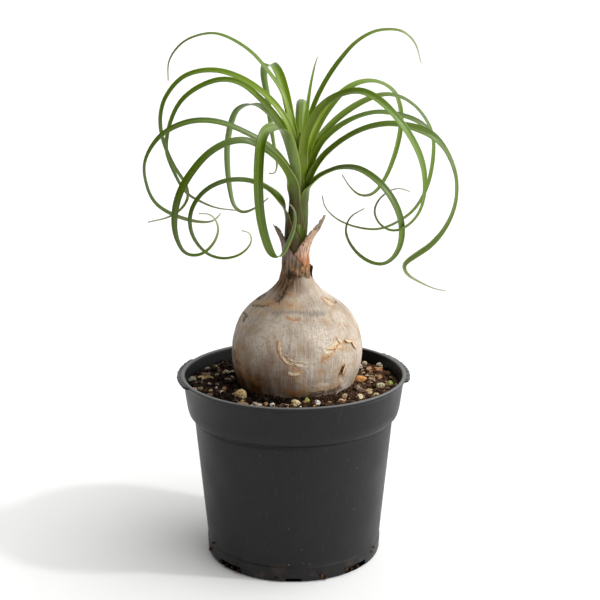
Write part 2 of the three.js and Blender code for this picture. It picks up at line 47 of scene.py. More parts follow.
# The studio: a pale painted table under a white sky that is bright on the right, where a wide screen of
# light stands, and dim in front on the left, where the room is. One lamp high on the right throws the
# pot's shadow to the left. The leaves' routes are taken from the camera's viewpoint as well.
VIEWPOINT = np.array([4.3, -796.0, 377.0])
LOOKING_DOWN = 14.33
LENS_MM = 75
LAMP_FROM = Vector((1, -0.22, 0.88))
LAMP_SPREAD = 4.5
LAMP_STRENGTH = 0.9
SCREEN_SIDE = Vector((1, -0.15, 0.3)).normalized()
ROOM_SIDE = Vector((-0.82, -0.56, 0.06)).normalized()
TABLE_HALF_METRES = 30


def srgb(code):
    """A hex colour as Blender's linear values."""
    channels = [int(code[i:i + 2], 16) / 255 for i in (1, 3, 5)]
    linear = [c / 12.92 if c <= 0.04045 else ((c + 0.055) / 1.055) ** 2.4 for c in channels]
    return (*linear, 1.0)


def fill(tree, node, inputs):
    """Sets or links a node's inputs. A node given as a value stands for its first output in use."""
    for key, value in inputs.items():
        if isinstance(value, bpy.types.Node):
            value = next(socket for socket in value.outputs if socket.enabled)
        if isinstance(value, bpy.types.NodeSocket):
            tree.links.new(value, node.inputs[key])
        else:
            node.inputs[key].default_value = value


def add(tree, kind, inputs=None, stops=(), **settings):
    """Adds a node with its settings and inputs, and a ramp's stops."""
    node = tree.nodes.new(f"ShaderNode{kind}")
    for key, value in settings.items():
        setattr(node, key, value)
    fill(tree, node, inputs or {})
    for number, (place, colour) in enumerate(stops):
        ramp = node.color_ramp.elements
        stop = ramp[number] if number < 2 else ramp.new(place)
        stop.position = place
        stop.color = srgb(colour)
    return node


def surface(name):
    """An empty material and its node tree."""
    material = bpy.data.materials.new(name)
    material.use_nodes = True
    return material, material.node_tree


def coated(material, inputs, relief=None, strength=0.0, depth=0.0):
    """The material with its shader filled in, and a relief that is so many millimetres deep."""
    tree = material.node_tree
    if relief is not None:
        bump = {"Height": relief, "Strength": strength, "Distance": depth * MM}
        inputs = {**inputs, "Normal": add(tree, "Bump", bump)}
    fill(tree, tree.nodes["Principled BSDF"], inputs)
    return material


def painted_table():
    """Matt white paint on board: even, with no grain, so it only takes the shadow."""
    material, _ = surface("white_painted_board")
    return coated(material, {"Base Color": srgb("#f9f9f8"), "Roughness": 0.8, "Specular IOR Level": 0.2})


def placed(name, data):
    """An object with this data, put into the scene."""
    thing = bpy.data.objects.new(name, data)
    bpy.context.scene.collection.objects.link(thing)
    return thing


table_mesh = bpy.data.meshes.new("table_top")
table_sides = ((-1, -1), (1, -1), (1, 1), (-1, 1))
table_corners = [(x * TABLE_HALF_METRES, y * TABLE_HALF_METRES, 0) for x, y in table_sides]
table_mesh.from_pydata(table_corners, [], [(0, 1, 2, 3)])
table_mesh.materials.append(painted_table())
table_top = placed("table_top", table_mesh)

sky = bpy.data.worlds.new("white_sky")
sky.use_nodes = True
sky_tree = sky.node_tree
sky_place = add(sky_tree, "TexCoord").outputs["Generated"]
sky_sides = []
for side, low, high, least, most in ((ROOM_SIDE, -0.12, 0.82, 0.98, 0.06), (SCREEN_SIDE, 0.3, 0.95, 0, 1.65)):
    towards = add(sky_tree, "VectorMath", {0: sky_place, 1: side}, operation="DOT_PRODUCT")
    limits = {"Value": towards, "From Min": low, "From Max": high, "To Min": least, "To Max": most}
    sky_sides.append(add(sky_tree, "MapRange", limits, interpolation_type="SMOOTHSTEP"))
sky_light = add(sky_tree, "Math", {0: sky_sides[0], 1: sky_sides[1]})
# The backdrop itself stays plain white.
backdrop = add(sky_tree, "LightPath").outputs["Is Camera Ray"]
sky_strength = add(sky_tree, "Mix", {0: backdrop, 2: sky_light, 3: 1.0}, data_type="FLOAT")
fill(sky_tree, sky_tree.nodes["Background"], {"Color": srgb("#fdfdfd"), "Strength": sky_strength})
bpy.context.scene.world = sky

lamp = bpy.data.lights.new("soft_lamp", "SUN")
lamp.energy = LAMP_STRENGTH
lamp.angle = math.radians(LAMP_SPREAD)
placed("soft_lamp", lamp).rotation_euler = LAMP_FROM.to_track_quat("Z", "Y").to_euler()

lens = bpy.data.cameras.new("camera")
lens.lens = LENS_MM
camera = placed("camera", lens)
camera.location = VIEWPOINT * MM
camera.rotation_euler = (math.radians(90 - LOOKING_DOWN), 0, 0)
bpy.context.scene.camera = camera
bpy.context.scene.view_settings.view_transform = "Standard"

# The nursery pot: one thin moulding of black polypropylene, with a floor, a tapered wall, a stepped
# collar and a flat lip. Two ledges widen the lip, left and right, with rough nubs along their edges, and
# the foot is cut by drain notches. Handling has left it dusty, and damp mix has stuck round its foot.
pot_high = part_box("pot")[1]
POT_HEIGHT = pot_high.z / MM
RIM_RADIUS = pot_high.y / MM
WALL = 1.5
FOOT_RADIUS = 58.6
BODY_TOP_RADIUS = 66.5
COLLAR_FOOT = 96
COLLAR_RADIUS = 71
COLLAR_TOP_RADIUS = 73.4
CORNER_RADIUS = 0.8
LEDGE_RADIUS = 78.5
LEDGE_MIDDLES = (11, 181)
LEDGE_HALF_ANGLE = 27
LEDGE_STEPS = 150
POT_SIDES = 288

# The drain notches: the angle of each round the foot, its width and its height.
NOTCHES = [(angle, 20, 5) for angle in (45, 135, 225, 315)]
NOTCHES += [(angle, 11, 2.8) for angle in (0, 90, 180, 270)]
NOTCH_SILL = 0.2


def per_metre(size_mm):
    """The scale that makes a pattern's marks this many millimetres wide."""
    return 1 / (size_mm * MM)


def overlaid(tree, under, colour, pattern, low, high, most=1.0, least=0.0, within=()):
    """Lays a colour over what is under it, least where the pattern is low and most where it is high, and
    only as much as the amounts within allow."""
    limits = {"Value": pattern, "From Min": low, "From Max": high, "To Min": least, "To Max": most}
    amount = add(tree, "MapRange", limits)
    for other in within:
        amount = add(tree, "Math", {0: amount, 1: other}, operation="MULTIPLY")
    return add(tree, "Mix", {0: amount, 6: under, 7: srgb(colour)}, data_type="RGBA")


def make_piece(name, material, points, faces, marks=None):
    """A smooth mesh from points in millimetres. Marks are named values kept on its points."""
    mesh = bpy.data.meshes.new(name)
    mesh.from_pydata((np.asarray(points) * MM).tolist(), [], faces)
    for mark, values in (marks or {}).items():
        kind, entry = ("FLOAT_VECTOR", "vector") if np.ndim(values) == 2 else ("FLOAT", "value")
        mesh.attributes.new(mark, kind, "POINT").data.foreach_set(entry, np.ravel(values).astype(np.float32))
    turned_out = bmesh.new()
    turned_out.from_mesh(mesh)
    bmesh.ops.recalc_face_normals(turned_out, faces=turned_out.faces)
    turned_out.to_mesh(mesh)
    turned_out.free()
    mesh.shade_smooth()
    mesh.materials.append(material)
    return placed(name, mesh)


def grid_faces(rows, columns, closed):
    """The faces of a grid of points, row by row, whose columns may close on themselves."""
    across = range(columns if closed else columns - 1)
    corners = [(r * columns, c, (c + 1) % columns) for r in range(rows - 1) for c in across]
    return [(row + a, row + b, row + columns + b, row + columns + a) for row, a, b in corners]


def bar_faces(rows, sides):
    """The faces of rings of points that make a bar with flat ends."""
    ends = [tuple(range(sides)), tuple(range((rows - 1) * sides, rows * sides))]
    return grid_faces(rows, sides, True) + ends


def capped_faces(rows, sides):
    """The faces of rings of points that close on two hubs, which come after the rings."""
    hubs = ((rows * sides, 0), (rows * sides + 1, (rows - 1) * sides))
    caps = [(hub, first + i, first + (i + 1) % sides) for hub, first in hubs for i in range(sides)]
    return grid_faces(rows, sides, True) + caps


def gather(lumps):
    """Joins lumps of (points, faces, marks) into one."""
    points, faces, marks = [], [], {}
    start = 0
    for lump, sides, own in lumps:
        points.append(lump)
        faces += [tuple(start + i for i in face) for face in sides]
        for mark, values in own.items():
            marks.setdefault(mark, []).append(values)
        start += len(lump)
    return np.concatenate(points), faces, {mark: np.concatenate(values) for mark, values in marks.items()}


def eased(low, high, value):
    """Rises smoothly from 0 at low to 1 at high."""
    share = np.clip((np.asarray(value, float) - low) / (high - low), 0, 1)
    return share * share * (3 - 2 * share)


def rough(*place):
    """A smooth random value between -1 and 1, always the same at one place."""
    return noise.noise(Vector(place))


def turns(sides):
    """So many even angles round the middle."""
    return np.linspace(0, 2 * math.pi, sides, endpoint=False)


def round_at(radius, angle, height, middle=0.0):
    """The places at these angles round an upright line at x = middle."""
    place = (middle + radius * np.cos(angle), radius * np.sin(angle), height)
    return np.stack(np.broadcast_arrays(*place), axis=-1)


def rounded(corners, radius):
    """An outline with each of its corners eased over by a small curve, as moulded plastic has."""
    corners = [np.array(c, float) for c in corners]
    line = [corners[0]]
    for before, corner, after in zip(corners, corners[1:], corners[2:]):
        ways = (before - corner, after - corner)
        start, end = (corner + way * min(radius / np.linalg.norm(way), 0.45) for way in ways)
        line += [start * (1 - t) ** 2 + corner * 2 * t * (1 - t) + end * t ** 2 for t in (0, 0.33, 0.67, 1)]
    return [*line, corners[-1]]


def turned(profile, sides):
    """Points and faces of a profile of [radius, height], from axis to axis, turned round the middle."""
    rings = [round_at(radius, turns(sides), height) for radius, height in profile[1:-1]]
    hubs = [(0, 0, profile[0][1]), (0, 0, profile[-1][1])]
    return np.concatenate([*rings, hubs]), capped_faces(len(rings), sides)


def ledge_band(middle):
    """Points and faces of one ledge beside the lip, a thin band with a rough outer edge."""
    points = []
    for i in range(LEDGE_STEPS + 1):
        swell = float(eased(0, 12, min(i, LEDGE_STEPS - i)))
        nub = 0.15 + 0.5 * rough(i / 5.5, middle, 0)
        reach = RIM_RADIUS - 0.8 + swell * (LEDGE_RADIUS - RIM_RADIUS - 0.6 + 1.4 * nub)
        top = POT_HEIGHT - 0.6 + 0.5 * rough(i / 4.2, middle, 7)
        under = POT_HEIGHT - 2.2
        section = [
            (RIM_RADIUS - 1.4, under), (reach - 0.3, under), (reach, under + 0.4), (reach, top - 0.4),
            (reach - 0.4, top), (RIM_RADIUS - 1.4, top),
        ]
        angle = math.radians(middle + LEDGE_HALF_ANGLE * (2 * i / LEDGE_STEPS - 1))
        points += [round_at(radius, angle, height) for radius, height in section]
    return points, bar_faces(LEDGE_STEPS + 1, len(section))


def notch_block(angle, width, height):
    """A block, narrower at its top, that cuts one drain notch through the foot."""
    foot, top = 0.5 * width, 0.44 * width
    section = [(-foot, NOTCH_SILL), (foot, NOTCH_SILL), (top, height), (-top, height)]
    c, s = math.cos(math.radians(angle)), math.sin(math.radians(angle))
    ends = (FOOT_RADIUS - 9, FOOT_RADIUS + 6)
    points = [(out * c - side * s, out * s + side * c, z) for out in ends for side, z in section]
    return points, bar_faces(2, 4), {}


def black_polypropylene():
    """Moulded polypropylene: near black and half matt, so its sides pick up a grey sheen from the sky,
    with cloudy handling marks, fine scuffs, pale dust and brown mud near the foot."""
    material, tree = surface("moulded_black_polypropylene")
    place = add(tree, "TexCoord").outputs["Object"]
    height = add(tree, "SeparateXYZ", {0: place}).outputs["Z"]
    cloud = add(tree, "TexNoise", {"Vector": place, "Scale": per_metre(26), "Detail": 5})
    colour = add(tree, "ValToRGB", {"Fac": cloud}, [(0.3, "#060608"), (0.55, "#09090c"), (0.75, "#101014")])
    # Scuffs run up and down the wall, about 0.5 mm wide and 12 mm long.
    drawn = add(tree, "Mapping", {"Vector": place, "Scale": (1, 1, 0.05)})
    streaks = add(tree, "TexNoise", {"Vector": drawn, "Scale": per_metre(0.9), "Detail": 3})
    colour = overlaid(tree, colour, "#8d8c8a", streaks, 0.6, 0.8, 0.05)
    # Dust specks of about 0.7 mm, drawn that coarse so that they show, in patches.
    dust = add(tree, "TexVoronoi", {"Vector": place, "Scale": per_metre(5)})
    patchy = add(tree, "TexNoise", {"Vector": place, "Scale": per_metre(18), "Detail": 2})
    dusty = add(tree, "MapRange", {"Value": patchy, "From Min": 0.54, "From Max": 0.7})
    colour = overlaid(tree, colour, "#a39f98", dust, 0.04, 0.12, 0, 0.35, within=[dusty])
    # Mud: brown smears over the lowest 14 mm.
    smear = add(tree, "TexNoise", {"Vector": place, "Scale": per_metre(7), "Detail": 6})
    smeared = add(tree, "MapRange", {"Value": smear, "From Min": 0.52, "From Max": 0.66})
    colour = overlaid(tree, colour, "#4b3a2b", height, 2 * MM, 15 * MM, 0, 0.5, within=[smeared])
    # Painted highlight: the lip's flat top is painted pale grey, where it shines with the sky behind it.
    sheen_from, sheen_to = (POT_HEIGHT - 0.9) * MM, (POT_HEIGHT - 0.2) * MM
    colour = overlaid(tree, colour, "#8b8b89", height, sheen_from, sheen_to, 0.5)
    # Painted shade: the inner wall, which faces in, is painted nearly black, as it lies in the pot's shadow.
    normal = add(tree, "NewGeometry").outputs["Normal"]
    outwards = add(tree, "VectorMath", {0: normal, 1: place}, operation="DOT_PRODUCT")
    colour = overlaid(tree, colour, "#040404", outwards, 0, -30 * MM, 0.9)
    sheen = {"Value": cloud, "From Min": 0.3, "From Max": 0.7, "To Min": 0.4, "To Max": 0.54}
    grain = add(tree, "TexNoise", {"Vector": place, "Scale": per_metre(1.1), "Detail": 3})
    waves = add(tree, "Math", {0: cloud, 1: 6.0, 2: grain}, operation="MULTIPLY_ADD")
    inputs = {
        "Base Color": colour, "Roughness": add(tree, "MapRange", sheen), "IOR": 1.49,
        "Specular IOR Level": 0.32,
    }
    return coated(material, inputs, waves, 0.3, 0.12)


pot_outline = rounded(
    [
        (0, 0), (FOOT_RADIUS - 1.4, 0), (FOOT_RADIUS, 1.2), (FOOT_RADIUS + 0.4, 10.2),
        (FOOT_RADIUS + 0.1, 10.7), (FOOT_RADIUS + 0.05, 12), (BODY_TOP_RADIUS - 0.2, COLLAR_FOOT - 2.2),
        (BODY_TOP_RADIUS - 0.6, COLLAR_FOOT - 0.8), (BODY_TOP_RADIUS + 0.6, COLLAR_FOOT),
        (COLLAR_RADIUS - 1.2, COLLAR_FOOT + 2.6), (COLLAR_RADIUS, COLLAR_FOOT + 7),
        (COLLAR_TOP_RADIUS, POT_HEIGHT - 3.4), (RIM_RADIUS - 0.2, POT_HEIGHT - 2.4),
        (RIM_RADIUS, POT_HEIGHT - 0.5), (RIM_RADIUS - 0.6, POT_HEIGHT), (RIM_RADIUS - 2.2, POT_HEIGHT - 0.1),
        (RIM_RADIUS - 2.9, POT_HEIGHT - 1.2), (COLLAR_RADIUS - WALL, COLLAR_FOOT + 5.4),
        (BODY_TOP_RADIUS - WALL, COLLAR_FOOT + 0.6), (FOOT_RADIUS - 0.5 - WALL, WALL + 1.5),
        (FOOT_RADIUS - 3, WALL), (0, WALL),
    ],
    CORNER_RADIUS,
)
polypropylene = black_polypropylene()
pot = make_piece("nursery_pot", polypropylene, *turned(pot_outline, POT_SIDES))
ledges = [make_piece(f"ledge_{middle}", polypropylene, *ledge_band(middle)) for middle in LEDGE_MIDDLES]
cutter = make_piece("notches", polypropylene, *gather(notch_block(*notch) for notch in NOTCHES))
for part in [*ledges, cutter]:
    joint = pot.modifiers.new("moulded", "BOOLEAN")
    joint.operation = "DIFFERENCE" if part == cutter else "UNION"
    joint.solver = "EXACT"
    joint.object = part
pot.data = bpy.data.meshes.new_from_object(pot.evaluated_get(bpy.context.evaluated_depsgraph_get()))
pot.modifiers.clear()
for part in [*ledges, cutter]:
    bpy.data.objects.remove(part)
pot.data.shade_smooth()
pot.data.set_sharp_from_angle(angle=math.radians(50))
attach(pot, "root")
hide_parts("pot")

# The potting mix: dark peat and composted bark with coarse grit through it, filled to about 9 mm under
# the lip and loose on top. The bed is one solid body, and crumbs, stones and bark chips lie on it.
SOIL_LEVEL = 115.5
SOIL_EDGE = 70.6
SOIL_SIDES = 240
SOIL_RINGS = 34
STEM_EDGE = 36
CAUDEX_X = 1.8
CRUMB_COUNT = 3600
HEAPED_COUNT = 420
STONE_COUNT = 330
CHIP_COUNT = 46
CRUMB_COLOURS = ["#17100c", "#241811", "#33231a", "#4a3224", "#100b08"]
CHIP_COLOURS = ["#6b4c33", "#8a6a4a", "#4e3526", "#a38560"]
STONE_COLOURS = (
    "#e0d0b0", "#cdb68e", "#b99868", "#ece4d2", "#a87f52", "#bb875a", "#8f7a60", "#7f7560", "#a59c80",
    "#6f5a44", "#5f4a38", "#54402e", "#6a4c34",
)

# Stones that stand out: place from the pot's middle, length, width, height, how far turned, colour.
NAMED_STONES = [
    (-34, -32, 8, 7.5, 7, 10, "#e2c590"), (-46, -38, 4.6, 4, 3.8, 0, "#f4f1e8"),
    (2, -44, 7.5, 5, 5, 15, "#efdcae"), (9, -42.5, 4.5, 4, 4, 60, "#a9ad54"),
    (15, -44, 4.6, 4, 3.8, 20, "#efe9de"), (-22, -43.5, 5, 4.2, 4.2, 35, "#b9b6a8"),
    (-13, -45, 4.2, 3.6, 3.6, 80, "#eae6da"), (31, -37, 6, 4.4, 4.2, 25, "#dba987"),
    (43, -32, 5.6, 4.6, 4.4, 40, "#efddb8"), (45, 7, 10, 6, 5.4, -20, "#e0a05c"),
    (50, -14, 7, 5.4, 4.8, 30, "#c9a878"), (44, -20, 7, 6, 5, 10, "#5c4038"),
    (58, -11, 7.4, 6, 5.6, 60, "#cfcda6"), (64, -7, 5, 4.4, 4.6, 80, "#9fb053"),
    (56, 14, 4.4, 4, 3.8, 10, "#ded7b4"), (58, 25, 7, 5.4, 4.8, -40, "#c98b60"),
    (60, 36, 5.4, 5, 5, 20, "#e6dfd6"), (46, 34, 4.6, 4, 4, 0, "#ddd2c2"), (53, 31, 6, 4, 4, 30, "#c99a74"),
    (-66, -18, 9, 6, 5, -55, "#a98a78"), (-57, 8, 9, 5, 4.4, 20, "#a58c5e"),
    (-60, 20, 10, 6, 4, -25, "#7d6650"),
    (-46, 20, 7, 3.6, 3.6, -35, "#bdb29c"), (-38, 26, 5, 4, 4, 20, "#a8957c"),
    (-68, 8, 8, 4, 3.6, 60, "#8d907a"),
]

# Crumbs of wet mix that have stuck to the pot's foot, in and beside its drain notches: where each one
# sits round the pot in degrees, its height and its size.
FOOT_CRUMBS = [
    (-128, 2.6, 3.4), (-133, 3.4, 2.6), (-101, 3.2, 2.2), (-139, 2.4, 3), (-146, 3, 2.6), (-155, 12, 1.8),
    (-72, 3.4, 3.4), (-69, 1.8, 2.6), (-54, 4.2, 3), (-50, 3.4, 2.6), (-44, 3, 2.8), (-25, 9, 2), (-28, 7, 2),
    (-160, 5.5, 3.6), (36, 3, 3), (64, 3, 2.6), (128, 3.2, 3.2), (141, 2.6, 2.6), (172, 9, 2.4),
]


def soil_height(angle, radius):
    """How high the bed's rough top lies."""
    waves = 1.1 * np.sin(7 * angle + radius / 4) + 0.8 * np.sin(11 * angle - radius / 3)
    return SOIL_LEVEL + waves * eased(0, 5, 70 - radius)


def scattered(points, size, seed):
    """A smooth random value for each point, with marks of that size in millimetres."""
    shift = Vector((seed * 17.3, seed * 5.1, seed * 9.7))
    return np.array([noise.noise(Vector(p) / size + shift) for p in np.asarray(points)])


def soil_bed():
    """Points and faces of the bed: walls that follow the pot, and a rough top as far as the stem base."""
    walls = [(50, WALL + 0.5), (55, WALL + 0.6), (64.2, COLLAR_FOOT), (68.8, COLLAR_FOOT + 5.8)]
    rings = [round_at(radius, turns(SOIL_SIDES), height) for radius, height in walls]
    radii = np.repeat(np.linspace(SOIL_EDGE, STEM_EDGE, SOIL_RINGS), SOIL_SIDES)
    angles = np.tile(turns(SOIL_SIDES), SOIL_RINGS)
    top = round_at(radii, angles, soil_height(angles, radii))
    top[:, 2] += (1 - eased(66, 70, radii)) * (1.3 * scattered(top, 4.5, 1) + 0.7 * scattered(top, 1.8, 2))
    hubs = [(0, 0, WALL + 0.5), (CAUDEX_X, 0, SOIL_LEVEL - 14)]
    return np.concatenate([*rings, top, hubs]), capped_faces(len(walls) + SOIL_RINGS, SOIL_SIDES)


def broken_lump(chance, detail, flats):
    """A unit lump with flat broken sides, as crushed stone and crumbled peat have."""
    made = bmesh.new()
    bmesh.ops.create_icosphere(made, subdivisions=detail, radius=1)
    points = np.array([v.co for v in made.verts])
    faces = [tuple(v.index for v in f.verts) for f in made.faces]
    made.free()
    sides = chance.normal(size=(flats, 3))
    sides /= np.linalg.norm(sides, axis=1, keepdims=True)
    depth = chance.uniform(0.62, 0.95, flats)
    reach = depth / np.maximum(points @ sides.T, 1e-3)
    return points * np.minimum(reach.min(axis=1), 1.08)[:, None], faces


def laid(broken, size, turn, place, colour):
    """A lump scaled to its size, tumbled a little, turned and put in its place, in its own colour."""
    tilt, turn = math.radians(turn * 0.6 % 40 - 20), math.radians(turn)
    tumbled = np.array([[1, 0, 0], [0, math.cos(tilt), math.sin(tilt)], [0, -math.sin(tilt), math.cos(tilt)]])
    spun = np.array([[math.cos(turn), math.sin(turn), 0], [-math.sin(turn), math.cos(turn), 0], [0, 0, 1]])
    points = broken[0] * np.array(size) / 2 @ tumbled @ spun + np.array(place)
    return points, broken[1], {"colour": np.tile(srgb(colour)[:3], (len(points), 1))}


def dropped(chance, broken, size, place, colours):
    """A lump in one of these colours, lying as it fell."""
    colour = chance.choice(colours)
    return laid(broken, size, chance.uniform(0, 360), place, colour)


def spread(chance, near, far):
    """A random place on the bed, as angle, radius, x and y."""
    angle = chance.uniform(0, 2 * math.pi)
    radius = math.sqrt(chance.uniform(near ** 2, far ** 2))
    return angle, radius, radius * math.cos(angle), radius * math.sin(angle)


def crumb_lumps():
    """Crumbs all over the bed, and more heaped against the stem base, most at the front on the right."""
    chance = np.random.default_rng(11)
    for _ in range(CRUMB_COUNT):
        angle, radius, x, y = spread(chance, 39, SOIL_EDGE - 1.5)
        size = 1.0 + 2.6 * chance.random() ** 2.2
        broken = broken_lump(chance, 1 if size < 2.6 else 2, 6)
        lift = soil_height(angle, radius) + size * 0.15 + chance.uniform(-0.2, 0.9)
        shape = (size * chance.uniform(1, 1.7), size, size * chance.uniform(0.6, 1))
        yield dropped(chance, broken, shape, (x, y, lift), CRUMB_COLOURS)
    for _ in range(HEAPED_COUNT):
        angle = math.radians(chance.normal(-62, 30) if chance.random() < 0.7 else chance.uniform(0, 360))
        climb = chance.random() ** 1.6
        radius = 39.6 - 1.2 * climb + chance.uniform(-0.3, 0.6)
        size = chance.uniform(0.9, 2.2)
        broken = broken_lump(chance, 1, 6)
        spot = round_at(radius, angle, SOIL_LEVEL + 0.6 + 3.4 * climb, CAUDEX_X)
        yield laid(broken, (size * 1.3, size, size), chance.uniform(0, 360), spot, "#33231a")


def stone_lumps():
    """The stones that stand out, and small ones scattered between them."""
    chance = np.random.default_rng(23)
    for x, y, length, width, height, turn, colour in NAMED_STONES:
        points, faces = broken_lump(chance, 4, 11)
        pitted = points * (1 + 0.14 * scattered(points, 0.3, x)[:, None])
        lift = soil_height(math.atan2(y, x), math.hypot(x, y)) + height * 0.28
        yield laid((pitted, faces), (length, width, height), turn, (x, y, lift), colour)
    for _ in range(STONE_COUNT):
        angle, radius, x, y = spread(chance, 41, SOIL_EDGE - 2)
        size = 1.4 + 2.6 * chance.random() ** 2
        broken = broken_lump(chance, 2, 9)
        shape = (size * chance.uniform(1, 1.5), size, size * chance.uniform(0.7, 1))
        lift = soil_height(angle, radius) + size * 0.3 + 0.4
        yield dropped(chance, broken, shape, (x, y, lift), STONE_COLOURS)


def chip_lumps():
    """Flat chips of bark."""
    chance = np.random.default_rng(37)
    for _ in range(CHIP_COUNT):
        angle, radius, x, y = spread(chance, 44, SOIL_EDGE - 5)
        length = chance.uniform(4, 9)
        broken = broken_lump(chance, 2, 8)
        shape = (length, length * chance.uniform(0.3, 0.55), chance.uniform(0.9, 1.6))
        yield dropped(chance, broken, shape, (x, y, soil_height(angle, radius) + 1.1), CHIP_COLOURS)


def foot_lumps():
    """The crumbs that have stuck to the pot's foot."""
    chance = np.random.default_rng(5)
    for angle, height, size in FOOT_CRUMBS:
        spot = round_at(FOOT_RADIUS + height * 0.06 + 0.1, math.radians(angle), height)
        yield laid(broken_lump(chance, 3, 9), (size, size * 0.8, size * 0.8), angle, spot, "#4a3020")


def peat(name, dark, light):
    """Peat and composted bark: almost black, dull, with rusty fibres. It eats the light between stones."""
    material, tree = surface(name)
    place = add(tree, "TexCoord").outputs["Object"]
    crumbs = add(tree, "TexNoise", {"Vector": place, "Scale": per_metre(1.6), "Detail": 6})
    colour = add(tree, "ValToRGB", {"Fac": crumbs}, [(0.35, dark), (0.55, "#2b1e16"), (0.72, light)])
    # Painted light: towards the right, where the lamp falls, the mix is painted a lighter, warmer brown.
    across = add(tree, "SeparateXYZ", {0: place}).outputs["X"]
    colour = overlaid(tree, colour, "#6b4e38", across, -10 * MM, 45 * MM, 0.4)
    fine = add(tree, "TexNoise", {"Vector": place, "Scale": per_metre(0.7), "Detail": 5})
    inputs = {"Base Color": colour, "Roughness": 0.9, "Specular IOR Level": 0.12}
    return coated(material, inputs, fine, 0.9, 0.6)


def crushed_stone():
    """Crushed pumice, quartz and fired clay: pale, dull and pitted, each lump in its own colour."""
    material, tree = surface("crushed_pumice_and_clay")
    place = add(tree, "TexCoord").outputs["Object"]
    own = add(tree, "Attribute", attribute_name="colour").outputs["Vector"]
    pits = add(tree, "TexNoise", {"Vector": place, "Scale": per_metre(1.1), "Detail": 6})
    colour = overlaid(tree, own, "#6b4d33", pits, 0.44, 0.66, 0.8)
    return coated(material, {"Base Color": colour, "Roughness": 0.85}, pits, 0.8, 0.5)


bed = make_piece("potting_mix_bed", peat("damp_peat", "#0b0705", "#4a3222"), *soil_bed())
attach(bed, "root")
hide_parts("soil")

# The crumbs take their colour from the peat, and only the stones and chips show their own.
crumbs = make_piece("peat_crumbs", peat("dry_peat", "#120c08", "#5b3f2b"), *gather(crumb_lumps())[:2])
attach(crumbs, "root")

stones = make_piece("grit_stones", crushed_stone(), *gather([*stone_lumps(), *chip_lumps()]))
stones.data.set_sharp_from_angle(angle=math.radians(28))
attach(stones, "root")

foot_crumbs = make_piece("foot_crumbs", peat("stuck_peat", "#1a0f08", "#7a4f2c"), *gather(foot_lumps())[:2])
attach(foot_crumbs, "root")

# The caudex: the swollen stem base that stores the plant's water, a squat bulb drawn up into a neck. Its
# skin is dry cork, grey beige and finely fissured from top to bottom, split here and there into curled
# papery flakes with orange under them, and stained brown where it stands in the mix.
CAUDEX_FOOT = 86
CAUDEX_TOP = 206
CAUDEX_SIDES = 300
CAUDEX_ROWS = 230
CAUDEX_OUTLINE = np.array(
    [
        (86, 3), (90, 6), (95, 15), (105, 28), (112, 34.2), (116, 36.8), (120, 38.8), (126, 41.2),
        (132, 42.8), (139, 43.3), (145, 43), (150, 42), (155, 40.7),
        (160, 38.5), (165, 35.5), (170, 31), (174, 26),
        (178, 20), (182, 15.5), (186, 12.2), (190, 10), (196, 8.2), (206, 6.2),
    ],
    float,
)

